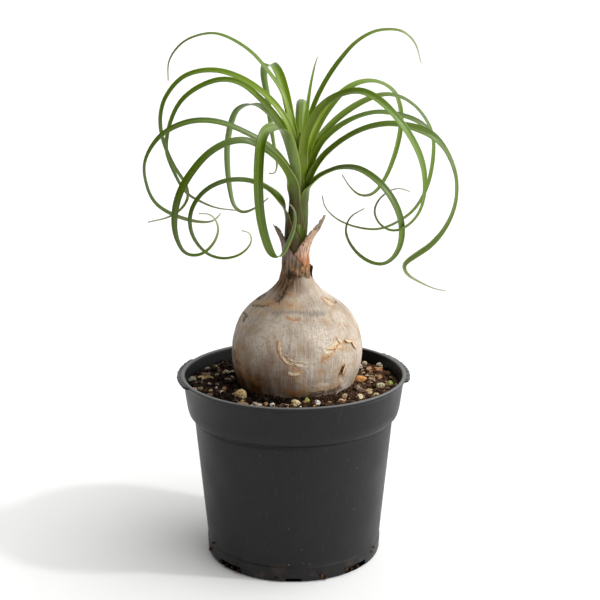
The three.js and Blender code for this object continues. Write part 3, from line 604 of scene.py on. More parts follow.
# Where the skin is marked, as lines of [x, z] seen from the viewpoint on the plane through the pot's
# middle, each with its reach to either side, how far it lifts the skin, and which colour it brings.
SKIN_MARKS = [
    # The grey band round 165 mm high is painted leaf shadow over a shallow crease.
    ("grey", 2.3, -0.15, [(-13, 164.8), (-2, 165.4), (6, 165), (12, 164.2), (17, 164), (20, 165)]),
    ("rust", 0.6, -0.2, [(-11, 145.4), (-10.8, 139), (-8.4, 133.4), (-4.6, 129.8), (0, 127.6)]),
    ("pale", 0.7, 0.2, [(-8.8, 144.6), (-9, 139), (-6.8, 134), (-3, 130.6), (3, 128.6), (8, 128.2)]),
    ("brown", 0.35, -0.2, [(-7.6, 142), (-7.4, 138), (-5.2, 134), (-1.6, 131.2), (4, 129.8), (9, 129.4)]),
    ("pale", 0.5, 0.2, [(-5.4, 136), (-3.4, 133.6), (-0.4, 132), (4, 131), (9.4, 130.6)]),
    ("rust", 0.4, -0.1, [(-3.4, 134.8), (0, 133), (4.6, 132)]),
    ("brown", 0.5, -0.3, [(-5.6, 132.2), (-2.4, 129.4), (1, 128), (3, 126.4)]),
    ("rust", 0.8, -0.1, [(-1, 127), (2, 125.4), (5, 124.8)]),
    ("pale", 1.3, 0.3, [(-2.6, 123.4), (0, 122.2), (2.6, 122.6)]),
    ("rust", 0.5, 0, [(-5.6, 122.6), (-2.4, 120.4), (3, 120.6), (8, 121.4)]),
    ("brown", 0.5, -0.2, [(0, 118.6), (0.4, 116.4), (2, 114.8)]),
    ("pale", 3.4, 0.1, [(23, 139), (26, 141), (29.5, 143.4)]),
    ("rust", 0.5, 0.3, [(25.6, 146.2), (28, 149), (30.4, 147), (32, 143.8)]),
    ("rust", 1.2, -0.1, [(33, 144.6), (36.6, 145.8), (38.4, 144.6)]),
    ("rust", 0.5, 0.3, [(38.6, 145), (40.4, 142.4), (41.6, 139.6)]),
    ("dark", 0.4, -0.5, [(17, 141), (20, 138), (22.6, 135.2)]),
    ("rust", 1.2, 0.2, [(18, 131.6), (20, 133.5), (23.4, 136)]),
    ("rust", 0.5, 0.2, [(23, 135.6), (27, 138), (31, 141.4)]),
    ("dark", 0.7, -0.5, [(33.2, 127.6), (31.8, 124), (30.6, 121.4)]),
    ("brown", 1.6, -0.1, [(33, 127), (31, 122)]),
    ("rust", 0.9, 0.3, [(34.6, 129.4), (34, 126), (32.8, 122.6)]),
    ("rust", 0.5, 0.3, [(18, 176), (20, 172.6), (24, 169.6), (27, 168.8), (28, 170.6)]),
    ("pale", 1.4, 0.2, [(20.6, 174.4), (25, 171.4)]),
    ("dark", 0.8, 0.5, [(27.5, 172.6), (28.6, 171.8)]),
    ("dark", 1.3, 0.6, [(-23, 174), (-21, 175.8), (-18.6, 177.4)]),
    ("brown", 1.3, -0.2, [(-27, 170), (-22, 169.2), (-17, 169.6)]),
    ("tan", 3.2, 0, [(-24, 171), (-14, 171.6), (-4, 172), (2, 170.6)]),
    ("tan", 2.6, 0, [(-6, 177), (-1, 177), (1, 173)]),
    ("tan", 3.4, 0, [(-12, 168.6), (-3, 169.6), (5, 168.8)]),
    ("tan", 2.6, 0, [(-9.6, 145), (-8.8, 137), (-4, 130.6), (2, 127), (6, 124.6)]),
    ("tan", 2.2, 0, [(2, 127), (2, 121), (4, 116), (8, 113)]),
    ("tan", 1.8, 0, [(18, 131), (22, 135.6), (29, 140), (32, 144), (36, 146.4), (40, 143)]),
    ("tan", 2.4, 0, [(33, 129), (31, 121)]),
    ("tan", 2.4, 0, [(-38, 141), (-37, 133), (-33, 127)]),
    ("rust", 1.3, 0.1, [(-17, 171), (-13, 171.8)]),
    ("rust", 1.1, 0.1, [(-4, 171), (0, 170)]),
    ("rust", 1.2, 0.1, [(-6, 177), (-3, 178)]),
    ("brown", 3.4, 0, [(1, 190), (-4, 184), (-8, 178), (-11, 173.4)]),
    ("dark", 0.9, -0.4, [(-2, 186), (-6, 180), (-9, 174.5)]),
    ("dark", 2.2, -0.2, [(-6.6, 178), (-8.4, 174.6), (-11, 173)]),
    ("brown", 1.1, -0.2, [(-34, 166), (-31, 163), (-33, 160)]),
    ("brown", 1.2, 0, [(-39.6, 139), (-39, 134), (-36, 130)]),
    ("rust", 1.4, 0, [(-4, 161.6), (1, 160.6), (4, 161.6)]),
    ("rust", 0.8, 0, [(33, 157.6), (36, 155)]),
    # This upright grey streak is painted leaf shadow.
    ("grey", 0.7, 0, [(-3, 151), (-2, 143), (-4, 137)]),
    ("rust", 2.6, 0.2, [(-5, 109.5), (2, 108.6), (6, 110)]),
    ("tan", 2.4, 0.6, [(9, 110), (16, 112), (24, 113), (30, 116)]),
    ("brown", 0.6, 0.3, [(10, 110.6), (13, 109.4), (17, 111.6), (22, 110.8), (27, 113.4)]),
    ("rust", 1.0, 0, [(-33, 122), (-28, 117), (-20, 113)]),
    ("tan", 3.0, 0, [(-36, 128), (-31, 121), (-24, 116)]),
    ("rust", 0.4, 0, [(5, 124), (9, 119), (15, 115), (20, 113.6)]),
    ("brown", 0.3, 0, [(2, 121), (7, 117.6), (13, 112.6)]),
    ("brown", 2.0, 0.3, [(10, 107.4), (16, 108.8), (24, 110), (31, 113.2)]),
]
BACK_MARKS = [
    ("grey", 1.4, -0.3, [(-20, 160), (-8, 162), (6, 161)]),
    ("pale", 1.2, 0.8, [(8, 148), (10, 141), (14, 136), (20, 134)]),
    ("tan", 2.6, 0, [(7, 148), (9, 140), (14, 134), (20, 132)]),
    ("tan", 3, 0, [(-28, 137), (-22, 145)]),
    ("rust", 1.2, -0.3, [(6.5, 147), (8.4, 140), (12, 134)]),
    ("pale", 2.0, 0.4, [(-24, 138), (-20, 142)]),
    ("rust", 1.0, 0.3, [(-28, 137), (-26, 143), (-21, 146)]),
    ("dark", 0.7, -0.6, [(-14, 131), (-12, 126)]),
    ("rust", 1.8, 0, [(10, 172), (18, 169), (24, 170)]),
]


def near_line(seen, line):
    """How far each seen place lies from a line of places, in millimetres."""
    nearest = np.full(len(seen), 1e9)
    for start, end in zip(np.array(line, float), np.array(line[1:], float)):
        along = end - start
        share = np.clip(((seen - start) @ along) / (along @ along), 0, 1)
        nearest = np.minimum(nearest, np.linalg.norm(seen - start - share[:, None] * along, axis=1))
    return nearest


def seen_from(points, viewpoint):
    """Where points line up on the upright plane y = 0, as x and z."""
    share = -viewpoint[1] / (points[:, 1:2] - viewpoint[1])
    return (viewpoint + (points - viewpoint) * share)[:, ::2]


def bulb_radius(height):
    """The bulb's radius at a height, by a smooth curve through its outline."""
    steps = (-1.6, -0.8, 0, 0.8, 1.6)
    return np.mean([np.interp(height + step, *CAUDEX_OUTLINE.T) for step in steps], axis=0)


def caudex_mesh():
    """The bulb's points, faces and marks: rings up the outline, swollen, wrinkled and flaked."""
    buried = np.linspace(CAUDEX_FOOT, 108, 18, endpoint=False)
    heights = np.concatenate([buried, np.linspace(108, CAUDEX_TOP, CAUDEX_ROWS - len(buried))])
    radii = bulb_radius(heights)
    height, radius = np.repeat(heights, CAUDEX_SIDES), np.repeat(radii, CAUDEX_SIDES)
    turn = np.tile(turns(CAUDEX_SIDES), CAUDEX_ROWS)
    bare = eased(SOIL_LEVEL + 2, SOIL_LEVEL + 10, height)
    lobes = 0.5 * np.sin(3 * turn + height / 21) + 0.35 * np.sin(5 * turn - height / 13)
    flat = round_at(radius + lobes * eased(12, 40, radius) * bare, turn, height, CAUDEX_X)
    # How far along the skin from the foot, so that the grain follows the bulb over its shoulder.
    steps = np.hypot(np.diff(radii, prepend=radii[0]), np.diff(heights, prepend=heights[0]))
    grain = round_at(43, turn, np.repeat(np.cumsum(steps), CAUDEX_SIDES)) * MM
    marks = {name: np.zeros(len(flat)) for name in ("tan", "pale", "rust", "dark", "brown", "grey")}
    lift = np.zeros(len(flat))
    wander = 1.1 * np.stack([scattered(flat, 3.2, 3), scattered(flat, 3.2, 4)], axis=1)
    for lines, side in ((SKIN_MARKS, 1), (BACK_MARKS, -1)):
        seen = seen_from(flat, VIEWPOINT * (1, side, 1)) * (side, 1)
        for colour, wide, rise, line in lines:
            strength = np.exp(-(near_line(seen + wander, line) / wide) ** 2) * (flat[:, 1] * side < 6)
            marks[colour] = np.maximum(marks[colour], strength)
            lift += rise * strength
    fissures = np.array([rough(*p) for p in grain / MM * (0.9, 0.9, 0.12)])
    lift += bare * (0.28 * fissures + 0.35 * scattered(flat, 11, 8))
    # A fringe of rough bark where the bulb meets the mix.
    crust = (1 - eased(SOIL_LEVEL + 1, SOIL_LEVEL + 7, height)) * eased(SOIL_LEVEL - 6, SOIL_LEVEL, height)
    lift += crust * (0.9 * scattered(flat, 2.6, 9) + 0.4)
    # The lower skin is browned by splashed peat, most at the front on the left, and painted shade darkens
    # that shaded left side further. The neck is painted a darker grey brown on that side as well, up to the
    # husks: painted shade.
    streaks = np.array([rough(a * 7, h / 26, 4) for a, h in zip(turn, height)])
    stain_and_shade = (1 - eased(117, 160, height)) * np.clip(1.25 * np.cos(turn - math.radians(202)), 0, 1)
    stain_and_shade += eased(174, 190, height) * np.clip(0.2 + 0.85 * np.cos(turn - math.radians(210)), 0, 1)
    marks["stain_and_shade"] = np.clip(stain_and_shade * (1 + 0.9 * streaks), 0, 1)
    marks = {name: np.append(values, [0, 0]) for name, values in marks.items()}
    marks["grain"] = np.concatenate([grain, grain[[0, -1]]])
    hubs = [(CAUDEX_X, 0, CAUDEX_FOOT - 0.4), (CAUDEX_X, 0, CAUDEX_TOP)]
    points = np.concatenate([flat + round_at(1, turn, 0) * lift[:, None], hubs])
    return points, capped_faces(CAUDEX_ROWS, CAUDEX_SIDES), marks


def cork_skin():
    """Dry cork bark: a matt grey beige skin, fine fissures down it, pale where it has just split, rusty
    at the edges of its flakes, brown with wet peat round the foot, and painted shade on its left side."""
    material, tree = surface("fissured_cork_bark")
    place = add(tree, "TexCoord").outputs["Object"]
    grain = add(tree, "Attribute", attribute_name="grain").outputs["Vector"]
    cloud = add(tree, "TexNoise", {"Vector": place, "Scale": per_metre(14), "Detail": 5})
    colour = add(tree, "ValToRGB", {"Fac": cloud}, [(0.32, "#a09080"), (0.5, "#b4a798"), (0.68, "#c6baac")])
    # Fissures about 1 mm apart and ten times as long, which run down the bulb.
    down = add(tree, "Mapping", {"Vector": grain, "Scale": (1, 1, 0.1)})
    fissures = add(tree, "TexNoise", {"Vector": down, "Scale": per_metre(0.9), "Detail": 6, "Roughness": 0.6})
    colour = overlaid(tree, colour, "#7f6d59", fissures, 0.47, 0.3, 0.4)
    colour = overlaid(tree, colour, "#d3c7b6", fissures, 0.56, 0.72, 0.3)
    # Stains like spilt tea, in patches of about 9 mm.
    patches = add(tree, "TexNoise", {"Vector": place, "Scale": per_metre(9), "Detail": 7})
    colour = overlaid(tree, colour, "#a8834f", patches, 0.54, 0.7, 0.6)
    # Fine flecks of about 1 mm, where the cork has lifted in grains.
    ragged = add(tree, "TexNoise", {"Vector": grain, "Scale": per_metre(1.8), "Detail": 6})
    colour = overlaid(tree, colour, "#8d7a66", ragged, 0.5, 0.34, 0.5)
    # Peat stain low down, and painted shade on the bulb's left side and on the neck.
    stain_and_shade = add(tree, "Attribute", attribute_name="stain_and_shade").outputs["Fac"]
    colour = overlaid(tree, colour, "#5e3c1a", stain_and_shade, 0, 1)
    # Grey on the bulb's front is painted leaf shadow.
    mark_colours = (
        ("grey", "#7b7269", 0.75), ("tan", "#a98155", 0.6), ("brown", "#5f4630", 0.9),
        ("rust", "#a56e40", 0.85), ("pale", "#e0cdac", 0.85), ("dark", "#3d2a1c", 0.9),
    )
    for mark, shade, most in mark_colours:
        own = add(tree, "Attribute", attribute_name=mark).outputs["Fac"]
        torn = add(tree, "Math", {0: ragged, 1: 2.4, 2: own}, operation="MULTIPLY_ADD")
        colour = overlaid(tree, colour, shade, torn, 1.55, 2.3, most)
    # Peat has soaked into the skin up to about 8 mm over the mix, in ragged tongues.
    height = add(tree, "SeparateXYZ", {0: place}).outputs["Z"]
    tongues = add(tree, "Math", {0: patches, 1: -22 * MM, 2: height}, operation="MULTIPLY_ADD")
    colour = overlaid(tree, colour, "#553719", tongues, (SOIL_LEVEL - 17) * MM, (SOIL_LEVEL - 3) * MM, 0, 0.9)
    relief = add(tree, "Math", {0: ragged, 1: 0.6, 2: fissures}, operation="MULTIPLY_ADD")
    inputs = {"Base Color": colour, "Roughness": 0.78, "Specular IOR Level": 0.18}
    return coated(material, inputs, relief, 0.7, 0.45)


bulb = make_piece("caudex_bulb", cork_skin(), *caudex_mesh())
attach(bulb, "root")
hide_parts("caudex")

# The curled flakes: paper-thin tongues of cork that have split from the skin. Each is still joined to it
# along one edge and stands a little off it along the other. Each is given by its joined edge, its free
# edge and how far that stands off.
FLAKES = [
    ([(-9, 146.4), (-9.2, 141), (-8.2, 136.6)], [(-10, 145.4), (-10.4, 140), (-9.4, 135.4)], 0.35),
    ([(-7.4, 135), (-4.4, 131.4), (0.4, 128.8)], [(-8.4, 133.6), (-5.2, 130.2), (-0.4, 127.6)], 0.5),
    ([(0, 129.6), (4, 128.5), (9, 128.3)], [(-0.4, 128.6), (3.7, 127.6), (8.6, 127.6)], 0.35),
    ([(-4, 134.2), (-0.6, 131.8), (3.4, 130.6)], [(-4.5, 133.4), (-1.2, 131), (3, 129.9)], 0.35),
    ([(-2.4, 125.4), (1, 124.6), (4, 125.6)], [(-1.8, 123.2), (1.2, 122.6), (3.6, 123.8)], 0.5),
    ([(21, 140.6), (25, 143.4), (29, 146.6)], [(23.6, 137.4), (27.8, 140), (31.6, 143)], 0.6),
    ([(29, 148), (31, 146.4), (32.4, 144.4)], [(27.8, 147), (29.8, 145), (31.2, 143)], 0.5),
    ([(34, 146.8), (36.6, 146.4), (39, 145.6)], [(33.4, 145.2), (36, 144.4), (38.4, 143.8)], 0.5),
    ([(39, 145.4), (40.6, 142.8), (41.8, 140.4)], [(38, 144.6), (39.6, 142), (40.8, 139.8)], 0.4),
    ([(19.6, 135.4), (21.6, 132.6), (23.6, 131)], [(17.8, 133.6), (20, 131), (22.2, 129.6)], 0.5),
    ([(34.8, 129), (34, 125.6), (33, 122.6)], [(33.4, 128.6), (32.6, 125), (31.8, 122.4)], 0.5),
    ([(18.2, 175.6), (21.6, 172.4), (26.6, 170)], [(19.4, 176.6), (23, 173.6), (27.4, 171.2)], 0.5),
]
FLAKE_ROWS = 6
FLAKE_COLUMNS = 26
FLAKE_THICKNESS = 0.22


def at_depth(x, depth, z):
    """The true places, so deep, of a point that is given as it lines up with the plane y = 0."""
    share = (depth - VIEWPOINT[1]) / -VIEWPOINT[1]
    return VIEWPOINT + np.multiply.outer(share, np.array([x, 0, z]) - VIEWPOINT)


def on_bulb(x, z):
    """The place on the bulb's front that lines up with a seen x and z."""
    ray = at_depth(x, np.linspace(-50, 4, 1500), z)
    inside = np.hypot(ray[:, 0] - CAUDEX_X, ray[:, 1]) <= np.interp(ray[:, 2], *CAUDEX_OUTLINE.T)
    return ray[np.argmax(inside) if inside.any() else -1]


def line_at(line, shares):
    """Places at even shares of a line's points."""
    at = np.asarray(shares) * (len(line) - 1)
    return np.stack([np.interp(at, range(len(line)), values) for values in np.array(line, float).T], axis=1)


def unit(vectors):
    return vectors / np.linalg.norm(vectors, axis=-1, keepdims=True)


def sheet_faces(rows, columns):
    """The faces of a thin sheet: its outer skin, its inner skin and the rim between them."""
    count = rows * columns
    outer = grid_faces(rows, columns, False)
    inner = [tuple(count + i for i in reversed(face)) for face in outer]
    rim = [*range(columns), *(r * columns + columns - 1 for r in range(1, rows))]
    rim += [(rows - 1) * columns + c for c in range(columns - 2, -1, -1)]
    rim += [r * columns for r in range(rows - 2, 0, -1)]
    return outer + inner + [(a, b, count + b, count + a) for a, b in zip(rim, rim[1:] + rim[:1])]


def flake_lump(joined, free, lift, seed):
    """A thin curled sheet between the edge that is still joined and the torn edge that stands off."""
    shares = np.linspace(0, 1, FLAKE_COLUMNS)
    joined, free = line_at(joined, shares), line_at(free, shares)
    middle = np.array([CAUDEX_X, 0, 140.0])
    sheet = []
    for t in np.linspace(0, 1, FLAKE_ROWS):
        for c, share in enumerate(shares):
            ends = math.sin(math.pi * min(max(share, 0.04), 0.96)) ** 0.5
            tear = 1 + 0.3 * rough(c / 2.3, seed, 0)
            spot = on_bulb(*(joined[c] + (free[c] - joined[c]) * t * ends * tear))
            sheet.append(spot + unit(spot - middle) * (0.15 + lift * t ** 1.5 * ends))
    sheet = np.array(sheet)
    points = np.concatenate([sheet, sheet - FLAKE_THICKNESS * unit(sheet - middle)])
    edge = np.repeat(np.linspace(0, 0.7, FLAKE_ROWS), FLAKE_COLUMNS)
    return points, sheet_faces(FLAKE_ROWS, FLAKE_COLUMNS), {"edge": np.tile(edge, 2)}


def split_cork():
    """Split cork: a thin curl, cream in the middle of the tongue and orange brown along the torn edge."""
    material, tree = surface("split_papery_cork")
    place = add(tree, "TexCoord").outputs["Object"]
    edge = add(tree, "Attribute", attribute_name="edge").outputs["Fac"]
    fibres = add(tree, "TexNoise", {"Vector": place, "Scale": per_metre(1.4), "Detail": 5})
    torn = add(tree, "Math", {0: fibres, 1: 0.8, 2: edge}, operation="MULTIPLY_ADD")
    colour = add(tree, "ValToRGB", {"Fac": torn}, [(0.3, "#b5a692"), (0.75, "#cdb896"), (1.0, "#a06d42")])
    return coated(material, {"Base Color": colour, "Roughness": 0.75}, fibres, 0.6, 0.3)


flake_lumps = [flake_lump(*flake, seed) for seed, flake in enumerate(FLAKES)]
flakes = make_piece("cork_flakes", split_cork(), *gather(flake_lumps))
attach(flakes, "root")

# The husks: what is left of the oldest leaves, dry brown leaf bases as thin as card that still wrap the
# neck. The right one stands out in a torn point, the left one is grey and lies over the front, and a
# short dark stump is left at the back right. Each has its thickness and its rows from foot to tip: height,
# inner radius, and the angles between.
HUSKS = {
    "husk_right": (
        0.7,
        [
            (186.8, 9.8, -158, 150), (190, 8.8, -155, 150), (197, 8.2, -138, 128), (205, 8.0, -106, 92),
            (210, 8.7, -84, 50), (214.5, 10.1, -70, 26), (218, 12, -62, 12), (221, 13.9, -56, 6),
            (223, 15, -51, -10), (226, 16.6, -45, -17), (229.5, 18.2, -38, -21), (232, 19.2, -35, -24),
        ],
    ),
    "husk_left": (
        0.8,
        [
            (186, 11.2, 96, 345), (189.2, 9.4, 100, 338), (196.5, 8.8, 114, 315), (202, 8.6, 124, 287),
            (206, 8.6, 136, 264), (209, 9.0, 150, 247), (212, 9.8, 163, 236), (215, 11, 174, 229),
            (218, 12.6, 178, 227), (221, 14.2, 181, 224), (224.4, 15.8, 183, 221),
        ],
    ),
    "husk_stub": (1.1, [(187, 10.5, -14, 92), (190, 9.9, -13, 90), (193, 10.2, -10, 84), (196, 10.8, 2, 66)]),
}
HUSK_ROWS = 70
HUSK_COLUMNS = 64
LEAF_SCAR = (-2.4, -8.8, 192.5)

# Scraps of still older leaf bases: torn scales that lie over one another round the foot of the husks.
# Each is given by its middle angle, its foot height, its length, its half angle and how far it stands off.
HUSK_SCRAPS = [
    (-124, 187.5, 9, 24, 0.2), (-103, 191, 7, 12, 0.5), (-112, 195, 5, 9, 0.7), (-88, 188.5, 8, 13, 0.5),
    (-62, 190.5, 8, 18, 0.4), (-36, 188.5, 10, 20, 0.3), (-152, 187, 8, 18, 0.3), (12, 187.5, 9, 26, 0.3),
    (62, 186.5, 9, 28, 0.4), (112, 187, 10, 26, 0.3), (165, 186, 9, 30, 0.2),
]
SCRAP_THICKNESS = 0.4


def stem_x(height):
    """The shoot leans a little to the right on its way up."""
    return np.interp(height, [190, 206, 220, 235, 245, 262, 284], [1.8, 1.8, 2.6, 3.4, 3.9, 4.3, 4.6])


def husk_sheet(thickness, rows, seed):
    """A wrapped sheet with torn edges all round, ribbed along its length and thinner at its sides."""
    heights, *shape = np.array(rows, float).T
    points, up, sides = [], [], []
    for outer in (1, 0):
        for share in np.linspace(0, 1, HUSK_ROWS):
            even = heights[0] + (heights[-1] - heights[0]) * share
            torn = [5 * rough(even / 1.9, seed, i) + 3 * rough(even / 0.8, seed, i + 1) for i in (0, 2)]
            for side in np.linspace(0, 1, HUSK_COLUMNS):
                foot_tear = 2.4 * rough(side * 9, seed, 4) * (1 - share) ** 3
                height = even + foot_tear + 1.5 * rough(side * 5, seed, 5) * share ** 3
                radius, start, end = (np.interp(height, heights, values) for values in shape)
                angle = math.radians(start + torn[0] + (end - start + torn[1] - torn[0]) * side)
                ribs = 0.3 * rough(angle * 12, height / 16, seed) + 0.35 * rough(angle * 4, height / 7, seed)
                thin = (1 - 0.5 * share) * (0.35 + 0.65 * math.sin(math.pi * min(max(side, 0.06), 0.94)))
                reach = radius + ribs + outer * thickness * thin
                points.append((stem_x(height) + reach * math.cos(angle), reach * math.sin(angle), height))
                up.append(share)
                sides.append(abs(2 * side - 1))
    return points, sheet_faces(HUSK_ROWS, HUSK_COLUMNS), {"up": up, "side": sides}


def scrap_sheet(middle, foot, length, half, off, seed):
    """One scrap, which narrows from its foot and stands off the neck at its tip."""
    base, tip = np.interp([foot, foot + length], [185, 190, 200], [12.2, 9.4, 8.6])
    rows = [
        (foot, base - 0.3, middle - half, middle + half),
        (foot + length * 0.5, (base + tip) / 2 + off * 0.6, middle - half * 0.9, middle + half * 0.75),
        (foot + length, tip + off, middle - half * 0.3, middle + half * 0.2),
    ]
    return husk_sheet(SCRAP_THICKNESS, rows, seed)


def dry_leaf_base(name, foot, body, tip, edge):
    """Dead leaf base: dry, fibrous and dull, rusty at the foot, bleached above and dark where it tore."""
    material, tree = surface(name)
    place = add(tree, "TexCoord").outputs["Object"]
    up, side = (add(tree, "Attribute", attribute_name=mark).outputs["Fac"] for mark in ("up", "side"))
    # Fibres about 0.5 mm apart that run up the husk, drawn as coarse as they need to show.
    drawn = add(tree, "Mapping", {"Vector": place, "Scale": (1, 1, 0.12)})
    fibres = add(tree, "TexNoise", {"Vector": drawn, "Scale": per_metre(1.1), "Detail": 5})
    blotch = add(tree, "TexNoise", {"Vector": place, "Scale": per_metre(5), "Detail": 5})
    ragged_up = add(tree, "Math", {0: blotch, 1: 0.5, 2: up}, operation="MULTIPLY_ADD")
    colour = add(tree, "ValToRGB", {"Fac": ragged_up}, [(0.5, foot), (0.72, body), (0.96, body), (1.0, tip)])
    colour = overlaid(tree, colour, edge, fibres, 0.54, 0.34, 0.8)
    # Rot has left dark blotches of about 3 mm.
    rot = add(tree, "TexNoise", {"Vector": place, "Scale": per_metre(3.4), "Detail": 4})
    colour = overlaid(tree, colour, edge, rot, 0.44, 0.34, 0.9)
    # A ragged scar, nearly black, where an older leaf was pulled off at the front on the left.
    from_scar = add(tree, "VectorMath", {0: place, 1: Vector(LEAF_SCAR) * MM}, operation="DISTANCE")
    frayed = add(tree, "Math", {0: fibres, 1: 9 * MM, 2: from_scar}, operation="MULTIPLY_ADD")
    colour = overlaid(tree, colour, "#2c190c", frayed, 9 * MM, 7 * MM, 0.9)
    colour = overlaid(tree, colour, edge, side, 0.86, 0.98, 0.85)
    inputs = {"Base Color": colour, "Roughness": 0.8, "Specular IOR Level": 0.2}
    return coated(material, inputs, fibres, 0.8, 0.4)


HUSK_FINISHES = {
    "husk_right": dry_leaf_base("bleached_leaf_base", "#a5653a", "#c2a38c", "#8d7f6c", "#5a3d28"),
    "husk_left": dry_leaf_base("weathered_leaf_base", "#7a644e", "#8f7c71", "#77695c", "#4a3626"),
    "husk_stub": dry_leaf_base("dark_leaf_base", "#4a2f1c", "#55402e", "#3a2a1e", "#2a1d13"),
}
for number, (node, rows) in enumerate(HUSKS.items()):
    husk = make_piece(f"dry_{node}", HUSK_FINISHES[node], *husk_sheet(*rows, number * 3 + 1))
    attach(husk, "root")
    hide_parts(node)

torn_base = dry_leaf_base("torn_leaf_base", "#7d6650", "#86674c", "#a5794d", "#2f1d10")
scrap_sheets = [scrap_sheet(*scrap, 20 + number) for number, scrap in enumerate(HUSK_SCRAPS)]
scraps = make_piece("husk_scraps", torn_base, *gather(scrap_sheets))
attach(scraps, "root")

# The shoot: the core of rolled young leaf bases that stands in the husks. The outer leaves' own bases
# clasp it, so little of it shows but its foot and the gaps between them. Its outline is [height, radius].
SHOOT_OUTLINE = np.array(
    [
        (200, 5.6), (206.3, 6.2), (213, 6.7), (224, 6.7), (235, 6.0), (245, 5.1), (255, 4.1), (265, 3.0),
        (275, 1.9), (283, 0.8),
    ]
)
SHOOT_FOOT, SHOOT_TOP = SHOOT_OUTLINE[[0, -1], 0]
SHOOT_ROWS = 90
SHOOT_SIDES = 96


def shoot_core():
    """The core's points and faces: lightly folded rings that lean as the shoot does."""
    heights = np.repeat(np.linspace(SHOOT_FOOT, SHOOT_TOP, SHOOT_ROWS), SHOOT_SIDES)
    angles = np.tile(turns(SHOOT_SIDES), SHOOT_ROWS)
    folds = 0.35 * np.sin(3 * angles + heights / 6) * eased(200, 215, heights)
    rings = round_at(np.interp(heights, *SHOOT_OUTLINE.T) + folds, angles, heights, stem_x(heights))
    hubs = [(stem_x(SHOOT_FOOT), 0, SHOOT_FOOT), (stem_x(SHOOT_TOP), 0, SHOOT_TOP + 0.2)]
    return np.concatenate([rings, hubs]), capped_faces(SHOOT_ROWS, SHOOT_SIDES)


def young_leaf_base():
    """Living leaf base: smooth, waxy and bright green, yellow green at the foot, with olive brown stains."""
    material, tree = surface("waxy_young_leaf_base")
    place = add(tree, "TexCoord").outputs["Object"]
    drawn = add(tree, "Mapping", {"Vector": place, "Scale": (1, 1, 0.08)})
    fibres = add(tree, "TexNoise", {"Vector": drawn, "Scale": per_metre(1.2), "Detail": 3})
    colour = add(tree, "ValToRGB", {"Fac": fibres}, [(0.35, "#46580f"), (0.55, "#5b6f1c"), (0.7, "#7a8e34")])
    stain = add(tree, "TexNoise", {"Vector": place, "Scale": per_metre(6), "Detail": 4})
    colour = overlaid(tree, colour, "#6a4f22", stain, 0.54, 0.68, 0.5)
    return coated(material, {"Base Color": colour, "Roughness": 0.45, "IOR": 1.42}, fibres, 0.4, 0.25)


shoot = make_piece("shoot_core", young_leaf_base(), *shoot_core())
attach(shoot, "root")
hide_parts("shoot")

